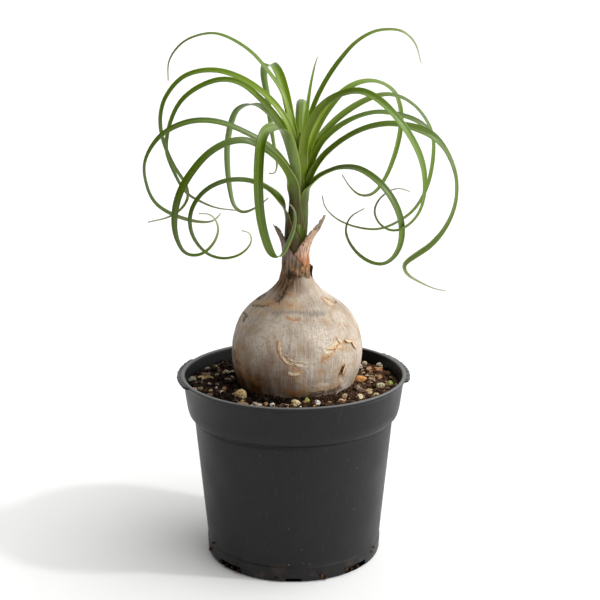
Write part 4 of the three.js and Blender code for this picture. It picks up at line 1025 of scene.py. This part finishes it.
# The leaves: eighteen narrow straps, thin and supple, each channelled along its middle. Every one clasps
# the shoot with a broad pale base, rises, arches over and hangs, and curls up at its dry thin tip.
# A route runs from the shoot to the tip. Its x and z are as they line up from the viewpoint with the
# plane y = 0, and its y is the true depth. Widths and turns are [share of the length, value] pairs: a
# turn of 0 shows the leaf's flat side to the front, and 90 shows its edge. The clasp gives how far down
# the shoot the base reaches, its half angle round the shoot and how far it lies under the outermost one.
# The cup says which skin is the waxed one and which way the channel opens. The age runs from 0, young, to
# 1, old, and the stain says how brown the base has gone. One leaf bends straight away from the viewpoint,
# where a turn has no meaning, so it has the fixed direction across its blade instead.
LEAVES = [
    {
        "name": "leaf_centre_spear",
        "clasp": (10, 70, 3.4), "base": 3.4, "cup": (1, 1), "age": 0, "stain": 0,
        "route": [(5, 0.5, 264), (5.5, 0, 277), (7.1, -1, 287.5), (8.5, -1.5, 296.6), (10.8, -2, 312.5),
            (13.8, -2, 326.4), (15.4, -2, 331)],
        "width": [(0, 2.5), (0.3, 3.4), (0.6, 2.4), (0.8, 1.6), (1, 1.1)],
        "turn": [(0, 10), (1, 30)],
    },
    {
        "name": "leaf_high_right_whip",
        "clasp": (12, 70, 3.2), "base": 5.4, "cup": (1, 1), "age": 0.1, "stain": 0,
        "route": [(5.8, 1.6, 262), (7.4, 3, 280), (10.2, 6, 291.4), (14.7, 10, 304.3), (21.6, 14, 317.6),
            (29.9, 18, 329.5), (39.4, 22, 339.9), (50.2, 25, 346.2), (60.1, 27, 347.7), (68.7, 29, 346.2),
            (76.2, 30, 339.2), (80.2, 30, 327)],
        "width": [(0, 3.4), (0.25, 4.4), (0.45, 4.4), (0.6, 3.4), (0.75, 2.6), (0.9, 2), (1, 1.5)],
        "turn": [(0, -20), (0.3, -45), (1, -50)],
    },
    {
        "name": "leaf_high_left_whip",
        "clasp": (12, 70, 3.2), "base": 5.4, "cup": (1, 1), "age": 0.1, "stain": 0,
        "route": [(3.2, 1.4, 262), (1, 3.5, 280), (-2.9, 8, 296), (-7.7, 13, 310.3), (-15.3, 17, 321.4),
            (-27, 21, 334.5), (-43.5, 25, 344), (-52.7, 26, 345.3), (-68.2, 27, 340.2), (-77.8, 29, 328.3),
            (-78.6, 29, 316)],
        "width": [(0, 3.4), (0.2, 4.4), (0.4, 3.6), (0.6, 2.9), (0.72, 2.1), (1, 1.6)],
        "turn": [(0, 30), (0.3, 50), (1, 50)],
    },
    {
        "name": "leaf_tall_fold",
        "clasp": (12, 70, 3), "base": 6.4, "cup": (1, 1), "age": 0.15, "stain": 0,
        "route": [(3.2, 2.2, 258), (1, 4, 280), (-1.4, 7, 291), (-4.7, 13, 307), (-8.6, 20, 320),
            (-11.8, 26, 325.4), (-15, 35, 326.5), (-17.8, 44, 324.6), (-18.2, 51, 318), (-16.2, 55, 306.6),
            (-14, 57, 287), (-11.5, 57, 271), (-10.3, 55, 262.5), (-12.2, 52, 256.8), (-15.5, 51, 257.5)],
        "width": [(0, 4), (0.2, 5.8), (0.4, 6.4), (0.5, 6.2), (0.6, 4.6), (0.75, 3.6), (0.9, 2), (1, 1.3)],
        "turn": [(0, 5), (0.38, 16), (0.45, 55), (0.49, 120), (0.54, 162), (1, 170)],
    },
    {
        "name": "leaf_left_outer_arch",
        "clasp": (14, 70, 2.8), "base": 6.6, "cup": (1, 1), "age": 0.2, "stain": 0,
        "route": [(1.9, -0.4, 258), (0.4, 1, 279), (-4.4, 2.5, 291), (-10.2, 4, 299.6), (-18.6, 7, 308.2),
            (-32, 12, 317.2), (-47.3, 16, 322.2), (-60.4, 18, 321.6), (-71, 20, 317), (-81.3, 21, 304),
            (-84.2, 21, 290.7), (-82.2, 20, 277.1), (-76.2, 18, 262.4), (-68.9, 17, 250.2),
            (-67.6, 17, 242.5), (-71.5, 16, 235), (-80.4, 16, 229), (-94.2, 16, 225.6)],
        "width": [(0, 4), (0.12, 5.4), (0.35, 5.6), (0.5, 4.4), (0.7, 3.8), (0.85, 2.9), (1, 1.8)],
        "turn": [(0, 30), (0.25, 50), (0.6, 52), (0.8, 48), (1, 50)],
    },
    {
        "name": "leaf_right_front_curl",
        "clasp": (14, 75, 2.6), "base": 7.4, "cup": (-1, 1), "age": 0.3, "stain": 0,
        "route": [(6.2, -2.6, 252), (6.3, -4.5, 268), (7.7, -8, 280), (12, -14, 291), (20.5, -23, 302),
            (32, -32, 308.2), (43.2, -40, 309.3), (54.5, -47, 303.6), (65.1, -51, 293.4),
            (74.2, -53, 281.4), (81.7, -55, 266.1), (84.4, -55, 250), (81.5, -53, 233), (73.1, -52, 222.9),
            (64.3, -51, 220.1), (56.4, -49, 224.1), (52.3, -48, 232.3), (55, -47, 240.2),
            (62.6, -46, 246.4), (68.2, -45, 247.8), (75, -44, 245.6)],
        "width": [(0, 4), (0.08, 6.6), (0.3, 6), (0.42, 6.4), (0.6, 5), (0.7, 3.4), (0.8, 2.5), (1, 1.6)],
        "turn": [(0, 0), (0.12, -20), (0.3, -54), (0.4, -46), (0.62, -44), (0.7, -60), (1, -56)],
    },
    {
        "name": "leaf_right_pale_arch",
        "clasp": (14, 75, 2.6), "base": 7, "cup": (1, 1), "age": 0.15, "stain": 0,
        "route": [(6.6, 2.6, 256), (9.2, 6, 270), (12.4, 12, 280), (17.4, 20, 290.4), (23, 26, 299),
            (32.2, 34, 309.6), (43.2, 42, 315.3), (53.8, 49, 315.3), (63.3, 55, 309.5), (67.6, 58, 299.5),
            (68.1, 60, 287), (65, 60, 270.6), (58.2, 58, 253.3), (50.5, 56, 244), (43, 55, 243.4),
            (36.2, 53, 249), (31.4, 52, 256.4)],
        "width": [(0, 4), (0.12, 6.2), (0.3, 6.4), (0.45, 5), (0.65, 4.4), (0.75, 4), (0.86, 2.8),
            (1, 1.5)],
        "turn": [(0, -10), (0.2, -40), (0.38, -54), (0.46, -74), (0.53, -56), (0.65, -38), (0.85, -40),
            (1, -48)],
    },
    {
        "name": "leaf_left_inner_arch",
        "clasp": (16, 75, 2.4), "base": 7, "cup": (-1, 1), "age": 0.3, "stain": 0,
        "route": [(1.6, 1.8, 252), (0, 3.5, 272), (-4.5, 7, 284), (-9.6, 12, 291.4), (-20.4, 18, 304.2),
            (-33.2, 25, 314.4), (-44.6, 30, 316.7), (-57.7, 34, 312.9), (-69.6, 36, 304.6),
            (-77, 38, 292.2), (-80.8, 39, 273.3), (-76.7, 38, 259.5), (-68.8, 36, 245.1),
            (-59.9, 36, 239.4), (-50, 35, 235.2), (-37, 34, 233.4)],
        "width": [(0, 4), (0.12, 5.8), (0.35, 5.6), (0.5, 4.9), (0.6, 4.2), (0.76, 3.7), (0.87, 2.7),
            (1, 1.8)],
        "turn": [(0, 25), (0.3, 50), (1, 52)],
    },
    {
        "name": "leaf_back_bend",
        "clasp": (16, 75, 2.4), "base": 7.4, "cup": (1, 1), "age": 0.4, "stain": 0,
        "route": [(4.2, 3, 256), (4, 7, 274), (4.3, 16, 287.4), (4.6, 26, 297), (5, 36, 302.4),
            (5.4, 49, 303.8), (6, 62, 300.6), (6.4, 73, 291), (7.2, 78, 276), (8.2, 78, 257),
            (8.4, 75, 245), (8, 72, 236), (6.6, 70, 231)],
        "width": [(0, 4), (0.2, 6.6), (0.45, 6.4), (0.75, 3.6), (1, 1.2)],
        "turn": [(0, 0), (1, 0)],
        "across": (1, 0.12, 0),
    },
    {
        "name": "leaf_left_back_drop",
        "clasp": (18, 80, 2.2), "base": 7.4, "cup": (1, 1), "age": 0.6, "stain": 0,
        "route": [(2, 2.6, 248), (0.4, 4.5, 266), (-4, 12, 280.5), (-8, 18, 287.5), (-13.5, 27, 294.3),
            (-19.2, 36, 299.2), (-25, 46, 301.5), (-31, 53, 300.5), (-36, 58, 297), (-39.4, 62, 288.8),
            (-41.8, 65, 275.2), (-41.9, 66, 260.9), (-40.3, 66, 245.5), (-38, 65, 236.4), (-33, 62, 232.2),
            (-24, 61, 235.3), (-16, 60, 241.6)],
        "width": [(0, 4), (0.15, 6), (0.35, 6.4), (0.45, 5.6), (0.7, 5.2), (0.8, 4.2), (0.87, 3), (1, 1.5)],
        "turn": [(0, 20), (0.3, 38), (0.39, 66), (0.45, 112), (0.52, 143), (1, 143)],
    },
    {
        "name": "leaf_front_strap",
        "clasp": (20, 80, 1.7), "base": 8, "cup": (-1, -1), "age": 0.7, "stain": 0.2,
        "route": [(2.4, -2.8, 246), (1.7, -6, 259), (-0.7, -10, 271.2), (-3.4, -17, 279.8),
            (-6.4, -26, 284.6), (-10, -38, 287), (-14.2, -49, 286.6), (-18, -58, 283.8), (-20.6, -64, 276),
            (-21.9, -66, 263.8), (-22.3, -68, 247), (-21.2, -66, 230), (-18.7, -62, 217),
            (-15.9, -58, 208.4), (-13.2, -56, 203.6), (-10.2, -54, 202), (-7.2, -52, 204),
            (-4.9, -50, 208.8), (-2.1, -48, 214.7), (0.2, -46, 221.3), (1.3, -44, 227.8), (1.1, -43, 232.4),
            (-0.6, -42, 236.1), (-3, -41, 237.8)],
        "width": [(0, 5), (0.07, 7), (0.17, 7.8), (0.27, 7.2), (0.4, 6.4), (0.6, 5.8), (0.78, 5.2),
            (0.83, 3.8), (0.88, 3.5), (0.95, 2.4), (1, 1.1)],
        "turn": [(0, 0), (0.18, -15), (0.28, -82), (0.36, -165), (0.785, -178), (0.83, -45), (1, -20)],
    },
    {
        "name": "leaf_right_back_arch",
        "clasp": (20, 80, 2), "base": 7.4, "cup": (1, 1), "age": 0.6, "stain": 0,
        "route": [(7, 2.2, 246), (8.8, 3.6, 260), (11.2, 6, 269.6), (14.4, 10, 276.6), (20.6, 16, 284.6),
            (31.4, 24, 294.8), (46.2, 32, 303.9), (59, 38, 307.5), (70.8, 42, 304.6), (80.9, 44, 296.2),
            (88, 46, 283.6), (89.3, 46, 270.6), (85.8, 46, 248.9), (78.9, 44, 235.5), (70.8, 43, 228.1),
            (56.8, 42, 221.6), (45.7, 40, 221.6), (32.6, 39, 225.4), (24.4, 38, 230.8), (19.6, 36, 237.4),
            (18.8, 36, 243)],
        "width": [(0, 3.6), (0.1, 5.4), (0.24, 6.4), (0.32, 5.4), (0.42, 4.4), (0.6, 4), (0.7, 3.2),
            (0.85, 2.3), (1, 1.5)],
        "turn": [(0, -20), (0.2, -46), (0.3, -48), (0.4, -72), (0.5, -66), (0.6, -46), (0.72, -54),
            (1, -50)],
    },
    {
        "name": "leaf_right_long_arch",
        "clasp": (22, 80, 1.7), "base": 7.6, "cup": (1, 1), "age": 0.7, "stain": 0,
        "route": [(7.4, 0.4, 242), (9.4, 1, 256), (12.8, 2, 267), (18.4, 4, 277.6), (27, 7, 285.8),
            (39.4, 10, 293), (52.6, 13, 296.4), (66.1, 16, 295), (78.6, 17, 290.8), (84.6, 17, 286.4),
            (91.8, 17, 278.8), (97.6, 16, 271.2), (101.8, 16, 262), (104.2, 14, 253)],
        "width": [(0, 3.6), (0.1, 5.8), (0.3, 6), (0.45, 4.4), (0.7, 4.6), (0.85, 3.9), (1, 2.4)],
        "turn": [(0, -30), (0.3, -50), (0.5, -52), (0.7, -45), (1, -50)],
    },
    {
        "name": "leaf_right_far_fold",
        "clasp": (22, 85, 1.3), "base": 8.4, "cup": (1, 1), "age": 0.8, "stain": 0.1,
        "route": [(8.2, -1.8, 236), (9, -3, 247), (11.6, -3.6, 256.4), (15.2, -4, 263), (20.3, -6, 269.6),
            (33.2, -8, 280), (47, -10, 286.6), (61.2, -12, 289), (74.2, -12, 287.2), (86.8, -12, 282.6),
            (96, -12, 273.8), (102.3, -12, 261.9), (104.8, -10, 250.4), (104, -10, 236.8),
            (98.7, -8, 223.1), (89.3, -7, 210.9), (77.1, -6, 202), (72, -4.6, 197.2), (73.6, -4, 191.8),
            (82.1, -3, 186.1), (92.9, -2, 181.2), (100, -2, 179.8)],
        "width": [(0, 3.6), (0.07, 5.8), (0.25, 5.4), (0.38, 6), (0.45, 6.2), (0.52, 5.4), (0.6, 4.6),
            (0.75, 4.8), (0.81, 4.6), (0.85, 4), (0.89, 3), (0.93, 2.2), (1, 1.3)],
        "turn": [(0, -30), (0.2, -54), (0.37, -52), (0.43, -22), (0.5, -66), (0.62, -68), (0.7, -56),
            (0.76, -40), (0.82, -30), (0.88, -50), (1, -42)],
    },
    {
        "name": "leaf_left_wide_arch",
        "clasp": (24, 85, 1.5), "base": 8.4, "cup": (1, 1), "age": 0.85, "stain": 0.4,
        "route": [(-0.4, -1.2, 236), (-1.2, -2, 248), (-3.4, -3, 260), (-8.4, -4, 267.8), (-15, -6, 274.4),
            (-29.5, -10, 283), (-47.9, -14, 290.1), (-65.9, -17, 290.2), (-84.2, -18, 281.4),
            (-94.4, -18, 266.2), (-95, -17, 254.7), (-89.7, -16, 239.5), (-79.4, -14, 231.6),
            (-61.4, -13, 226), (-51.4, -12, 226.6), (-47, -12, 231.4)],
        "width": [(0, 3.6), (0.1, 5.8), (0.3, 6), (0.5, 5.9), (0.6, 4.6), (0.66, 3.6), (0.76, 3.4),
            (0.9, 3.3), (0.96, 2.4), (1, 1.3)],
        "turn": [(0, 49), (0.3, 57), (0.5, 55), (0.66, 63), (0.75, 57), (0.82, 44), (1, 42)],
    },
    {
        "name": "leaf_left_front_spiral",
        "clasp": (30, 110, 0.55), "base": 9.6, "cup": (-1, 1), "age": 0.95, "stain": 0.8,
        "route": [(0.1, -5.6, 238), (0.4, -6.6, 245), (-0.4, -8, 251), (-2.4, -10, 256.2),
            (-5.6, -13, 261.4), (-9.6, -17, 266.4), (-16.5, -22, 272), (-28.8, -29, 278),
            (-40.5, -34, 277.3), (-53.5, -39, 270.3), (-64.1, -43, 258.9), (-72.3, -46, 245.6),
            (-76.3, -46, 231.4), (-76.1, -46, 217.2), (-70.2, -46, 205.2), (-60.5, -44, 204.4),
            (-51.7, -43, 212.2), (-48.6, -42, 222.5), (-53.4, -40, 230.6), (-61, -40, 231.2)],
        "width": [(0, 6), (0.06, 6), (0.13, 5.2), (0.22, 5.4), (0.3, 6.2), (0.42, 6.4), (0.57, 6.3),
            (0.65, 5.4), (0.71, 4.4), (0.76, 3.2), (0.85, 2.7), (1, 1.4)],
        "turn": [(0, 0), (0.12, 24), (0.3, 48), (0.42, 50), (0.5, 45), (0.65, 40), (0.76, 52), (1, 46)],
    },
    {
        "name": "leaf_left_low_spiral",
        "clasp": (22, 132, -0.7), "base": 10.4, "cup": (1, 1), "age": 1, "stain": 1,
        "route": [(-4.7, -2.2, 228), (-5.6, -2.8, 233), (-8.6, -4.4, 240), (-13.9, -8, 245.9),
            (-24, -14, 251.4), (-35.5, -20, 253.3), (-47, -24, 251.4), (-58.2, -27, 244.7),
            (-65.4, -29, 234), (-66.7, -29, 222.9), (-62.9, -27, 212.4), (-54.8, -26, 204.2),
            (-44.4, -25, 201.8), (-33.6, -23, 205.1), (-27.3, -22, 212.6), (-28.4, -22, 218.8),
            (-33.6, -22, 220)],
        "width": [(0, 4), (0.1, 5.6), (0.3, 4.9), (0.5, 4.3), (0.6, 3.9), (0.7, 3.1), (0.85, 2.5),
            (1, 1.5)],
        "turn": [(0, 22), (0.06, 26), (0.15, 50), (0.3, 54), (0.6, 52), (1, 54)],
    },
    {
        "name": "leaf_right_low_loop",
        "clasp": (30, 105, 1), "base": 9, "cup": (1, 1), "age": 0.85, "stain": 0.2,
        "route": [(7.8, -4.6, 239), (9.2, -5.4, 245.6), (12, -8, 251), (16, -12.6, 255.2),
            (21.8, -19, 258.4), (30.5, -29, 261.2), (42, -39, 260.2), (53.6, -46, 252.8), (62.8, -49, 242),
            (69, -51, 228.1), (69.9, -51, 214.2), (66.1, -49, 203.8), (58.8, -48, 198.1),
            (49.7, -47, 199.6), (39.6, -46, 207.6), (34, -44, 219.5), (36.7, -43, 228.8), (46, -42, 234.6)],
        "width": [(0, 6), (0.06, 6), (0.12, 5.4), (0.2, 5), (0.3, 5.8), (0.38, 6), (0.48, 5.8), (0.59, 5.2),
            (0.66, 4.4), (0.71, 3.4), (0.78, 3.1), (0.88, 2.3), (1, 1.4)],
        "turn": [(0, -60), (0.2, -63), (0.3, -55), (0.38, -46), (0.6, -42), (0.66, -46), (0.71, -58),
            (0.77, -45), (1, -50)],
    },
]
BLADE_THICKNESS = 0.55
BLADE_COLUMNS = 9
STATION_SPACING = 1.7
ROUTE_STEPS = 24
SHEATH_STEPS = 16
SHEATH_RADIUS = np.array(
    [(200, 6.2), (208, 6.9), (216, 7.3), (226, 7.3), (236, 6.9), (246, 7), (256, 5.9), (266, 4.8)], float
)


def smooth_route(places):
    """A centripetal curve through the route's places, with so many steps from one to the next."""
    points = [at_depth(*place) for place in places]
    points = [2 * points[0] - points[1], *points, 2 * points[-1] - points[-2]]
    line = []
    for a, b, c, d in zip(points, points[1:], points[2:], points[3:]):
        before, own, after = (np.linalg.norm(q - p) ** 0.5 for p, q in ((a, b), (b, c), (c, d)))
        start = ((b - a) / before - (c - a) / (before + own) + (c - b) / own) * own
        end = ((c - b) / own - (d - b) / (own + after) + (d - c) / after) * own
        for t in np.linspace(0, 1, ROUTE_STEPS, endpoint=False):
            curved = (3 * (c - b) - 2 * start - end) * t ** 2 + (2 * (b - c) + start + end) * t ** 3
            line.append(b + start * t + curved)
    return np.array([*line, points[-2]])


def evenly(line, spacing):
    """The same line with its points so far apart, and its sharpest wiggles eased."""
    run = np.insert(np.cumsum(np.linalg.norm(np.diff(line, axis=0), axis=1)), 0, 0)
    at = np.linspace(0, run[-1], int(run[-1] / spacing) + 1)
    even = np.stack([np.interp(at, run, line[:, i]) for i in range(3)], axis=1)
    for _ in range(3):
        even[1:-1] = 0.25 * even[:-2] + 0.5 * even[1:-1] + 0.25 * even[2:]
    return even, at


def eased_pairs(pairs, share):
    """Values between [share, value] pairs, with the corners between the straight runs eased."""
    places, values = np.array(pairs, float).T
    return np.mean([np.interp(share + step, places, values) for step in np.linspace(-0.03, 0.03, 7)], axis=0)


def leaf_mesh(leaf, number):
    """Points, faces and marks of one leaf: a clasping base, then a channelled strap along the route."""
    blade, run = evenly(smooth_route(leaf["route"]), STATION_SPACING)
    reach_down, clasp_angle, layer = leaf["clasp"]
    start = blade[0]
    stem = stem_x(start[2])
    out = unit((start - (stem, 0, start[2])) * (1, 1, 0))
    # The base clasps the shoot below the route's first point, which is pushed out to lie on it.
    heights = np.linspace(start[2] - reach_down, start[2], SHEATH_STEPS, endpoint=False)
    sheath_radii = np.interp(heights, *SHEATH_RADIUS.T) - layer
    sheath = np.stack([stem_x(heights) + sheath_radii * out[0], sheath_radii * out[1], heights], axis=1)
    radius = float(np.interp(start[2], *SHEATH_RADIUS.T)) - layer
    push = max(0, radius - np.linalg.norm(start[:2] - (stem, 0)))
    middle = np.concatenate([sheath, blade + out * (push * (1 - eased(0, 18, run)))[:, None]])
    for i in range(SHEATH_STEPS - 3, SHEATH_STEPS + 4):
        middle[i] = (middle[i - 1] + middle[i] + middle[i + 1]) / 3
    distance = np.concatenate([heights - start[2], run])
    share = np.concatenate([np.zeros(SHEATH_STEPS), run / run[-1]])
    along = unit(np.gradient(middle, axis=0))
    # Across the leaf: round the shoot at the base, and as the turn says beyond it.
    towards_front = VIEWPOINT - middle
    towards_front = unit(towards_front - (towards_front * along).sum(1, keepdims=True) * along)
    turn = np.radians(eased_pairs(leaf["turn"], share))[:, None]
    across = np.cross(towards_front, along) * np.cos(turn) + towards_front * np.sin(turn)
    if "across" in leaf:
        across = np.tile(np.array(leaf["across"], float), (len(middle), 1))
    round_shoot = np.cross((0, 0, 1), out)
    round_shoot = round_shoot * (1 if across[SHEATH_STEPS + 2] @ round_shoot > 0 else -1)
    free = eased(0, 22, distance)
    across = round_shoot * (1 - free[:, None]) + across * free[:, None]
    across = unit(across - (across * along).sum(1, keepdims=True) * along)
    facing = np.cross(along, across)
    # How far the section bends round: all round the shoot, then a shallow channel.
    base_half = leaf["base"] / 2
    down = np.clip(-distance / reach_down, 0, 1)
    wrap = np.radians(clasp_angle) * down + (1 - down) * min(base_half / radius, 1.4)
    inwards = 1 if facing[2] @ -out > 0 else -1
    waxed, opening = leaf["cup"]
    bend = inwards * wrap * (1 - free) + opening * (1 - 0.5 * share) * free
    bend = np.where(np.abs(bend) < 0.02, 0.02, bend)[:, None]
    # Half the width. The channel draws the edges together, so the blade is cut that much wider, and over
    # its last eighth it has dried and shrunk to a thread.
    leaving = eased(0, 24, distance)
    half = base_half + (eased_pairs(leaf["width"], share) / 2 - base_half) * leaving
    half *= (1 + 0.1 * (1 - share) * leaving) * (1 - 0.3 * eased(0.87, 0.98, share))
    half[:SHEATH_STEPS] = wrap[:SHEATH_STEPS] * sheath_radii
    # Round each section: one skin from edge to edge, and back along the other.
    side = np.concatenate([np.linspace(-1, 1, BLADE_COLUMNS), np.linspace(1, -1, BLADE_COLUMNS)])
    skin = np.repeat([1, -1], BLADE_COLUMNS)
    thick = BLADE_THICKNESS * (1 - 0.45 * eased(0.5, 1, share))[:, None]
    thick = thick * skin * (1 - 0.62 * np.abs(side) ** 3) / 2
    curve = half[:, None] / bend
    sag = curve * (1 - np.cos(bend)) * 0.5 * free[:, None]
    sideways = (curve - thick) * np.sin(bend * side)
    upwards = curve - (curve - thick) * np.cos(bend * side) - sag
    points = middle[:, None] + across[:, None] * sideways[..., None] + facing[:, None] * upwards[..., None]
    adaxial = inwards if waxed == opening else opening
    beyond = distance[:, None]
    clasped = 1 - eased(-2, 16, beyond)
    marks = {
        "share": share[:, None], "side": np.abs(side), "clasp": clasped, "age": leaf["age"],
        "stain": leaf["stain"], "under": np.where(skin == adaxial, 0, 1 - 0.8 * clasped),
        "pale": eased(-2, 9, beyond) * (1 - eased(14, 60, beyond)),
    }
    marks = {name: np.broadcast_to(values, sideways.shape).ravel() for name, values in marks.items()}
    vein = (half[:, None] * side * MM, beyond * 0.016 * MM, number * 0.031)
    marks["vein"] = np.stack(np.broadcast_arrays(*vein), axis=-1).reshape(-1, 3)
    return points.reshape(-1, 3), bar_faces(len(middle), len(side)), marks


def living_leaf():
    """Living leaf: tough and thin, with a soft wax shine. Light comes through it a little, so the young
    leaves look yellow green, the old ones are deep green, and each is drawn with veins along it."""
    material, tree = surface("living_strap_leaf")
    share, side, under, clasp, pale, age, stain = (
        add(tree, "Attribute", attribute_name=name).outputs["Fac"]
        for name in ("share", "side", "under", "clasp", "pale", "age", "stain")
    )
    # Both ramps start darker at share 0, the base that clasps the shoot: painted shade inside the clasp,
    # deepest in the old leaves.
    old = [
        (0.0, "#323f08"), (0.07, "#43580a"), (0.45, "#465e02"), (0.82, "#50660c"), (0.93, "#767a46"),
        (1.0, "#a8a48e"),
    ]
    young = [
        (0.0, "#5f7406"), (0.1, "#87a010"), (0.45, "#607f04"), (0.82, "#5f7612"), (0.93, "#7c804a"),
        (1.0, "#a8a48e"),
    ]
    young, old = (add(tree, "ValToRGB", {"Fac": share}, stops) for stops in (young, old))
    colour = add(tree, "Mix", {0: age, 6: young, 7: old}, data_type="RGBA")
    # Veins run the leaf's whole length, about 0.6 mm apart.
    vein_place = add(tree, "Attribute", attribute_name="vein").outputs["Vector"]
    veins = add(tree, "TexNoise", {"Vector": vein_place, "Scale": per_metre(1.1), "Detail": 3})
    colour = overlaid(tree, colour, "#96a824", veins, 0.52, 0.75, 0.28)
    colour = overlaid(tree, colour, "#2e4000", veins, 0.48, 0.32, 0.55)
    # The under side is greyer, with more wax on it.
    colour = overlaid(tree, colour, "#788b5e", under, 0, 1, 0.36)
    # Up to about 50 mm from the shoot the edges are pale and hard.
    colour = overlaid(tree, colour, "#a4b04c", side, 0.66, 0.95, 0.62, within=[pale])
    # Where the base clasps the shoot it has gone brown in blotches of about 5 mm, most in the oldest.
    place = add(tree, "TexCoord").outputs["Object"]
    blotch = add(tree, "TexNoise", {"Vector": place, "Scale": per_metre(6), "Detail": 4})
    colour = overlaid(tree, colour, "#4d3914", blotch, 0.36, 0.6, within=[stain, clasp])
    # The clasping edge itself is a dry tan line.
    colour = overlaid(tree, colour, "#665530", side, 0.84, 0.98, 0.6, within=[clasp])
    dull = {"Value": clasp, "From Min": 0.3, "From Max": 1, "To Min": 0.33, "To Max": 0.6}
    inputs = {
        "Base Color": colour, "Roughness": add(tree, "MapRange", dull), "IOR": 1.45,
        "Specular IOR Level": 0.46, "Subsurface Weight": 0.1,
        "Subsurface Radius": (0.5, 1.0, 0.15), "Subsurface Scale": 0.8 * MM,
    }
    return coated(material, inputs, veins, 0.4, 0.2)


leaf_finish = living_leaf()
for number, leaf in enumerate(LEAVES):
    strap = make_piece(f"strap_{leaf['name']}", leaf_finish, *leaf_mesh(leaf, number))
    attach(strap, "root")
    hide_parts(leaf["name"])
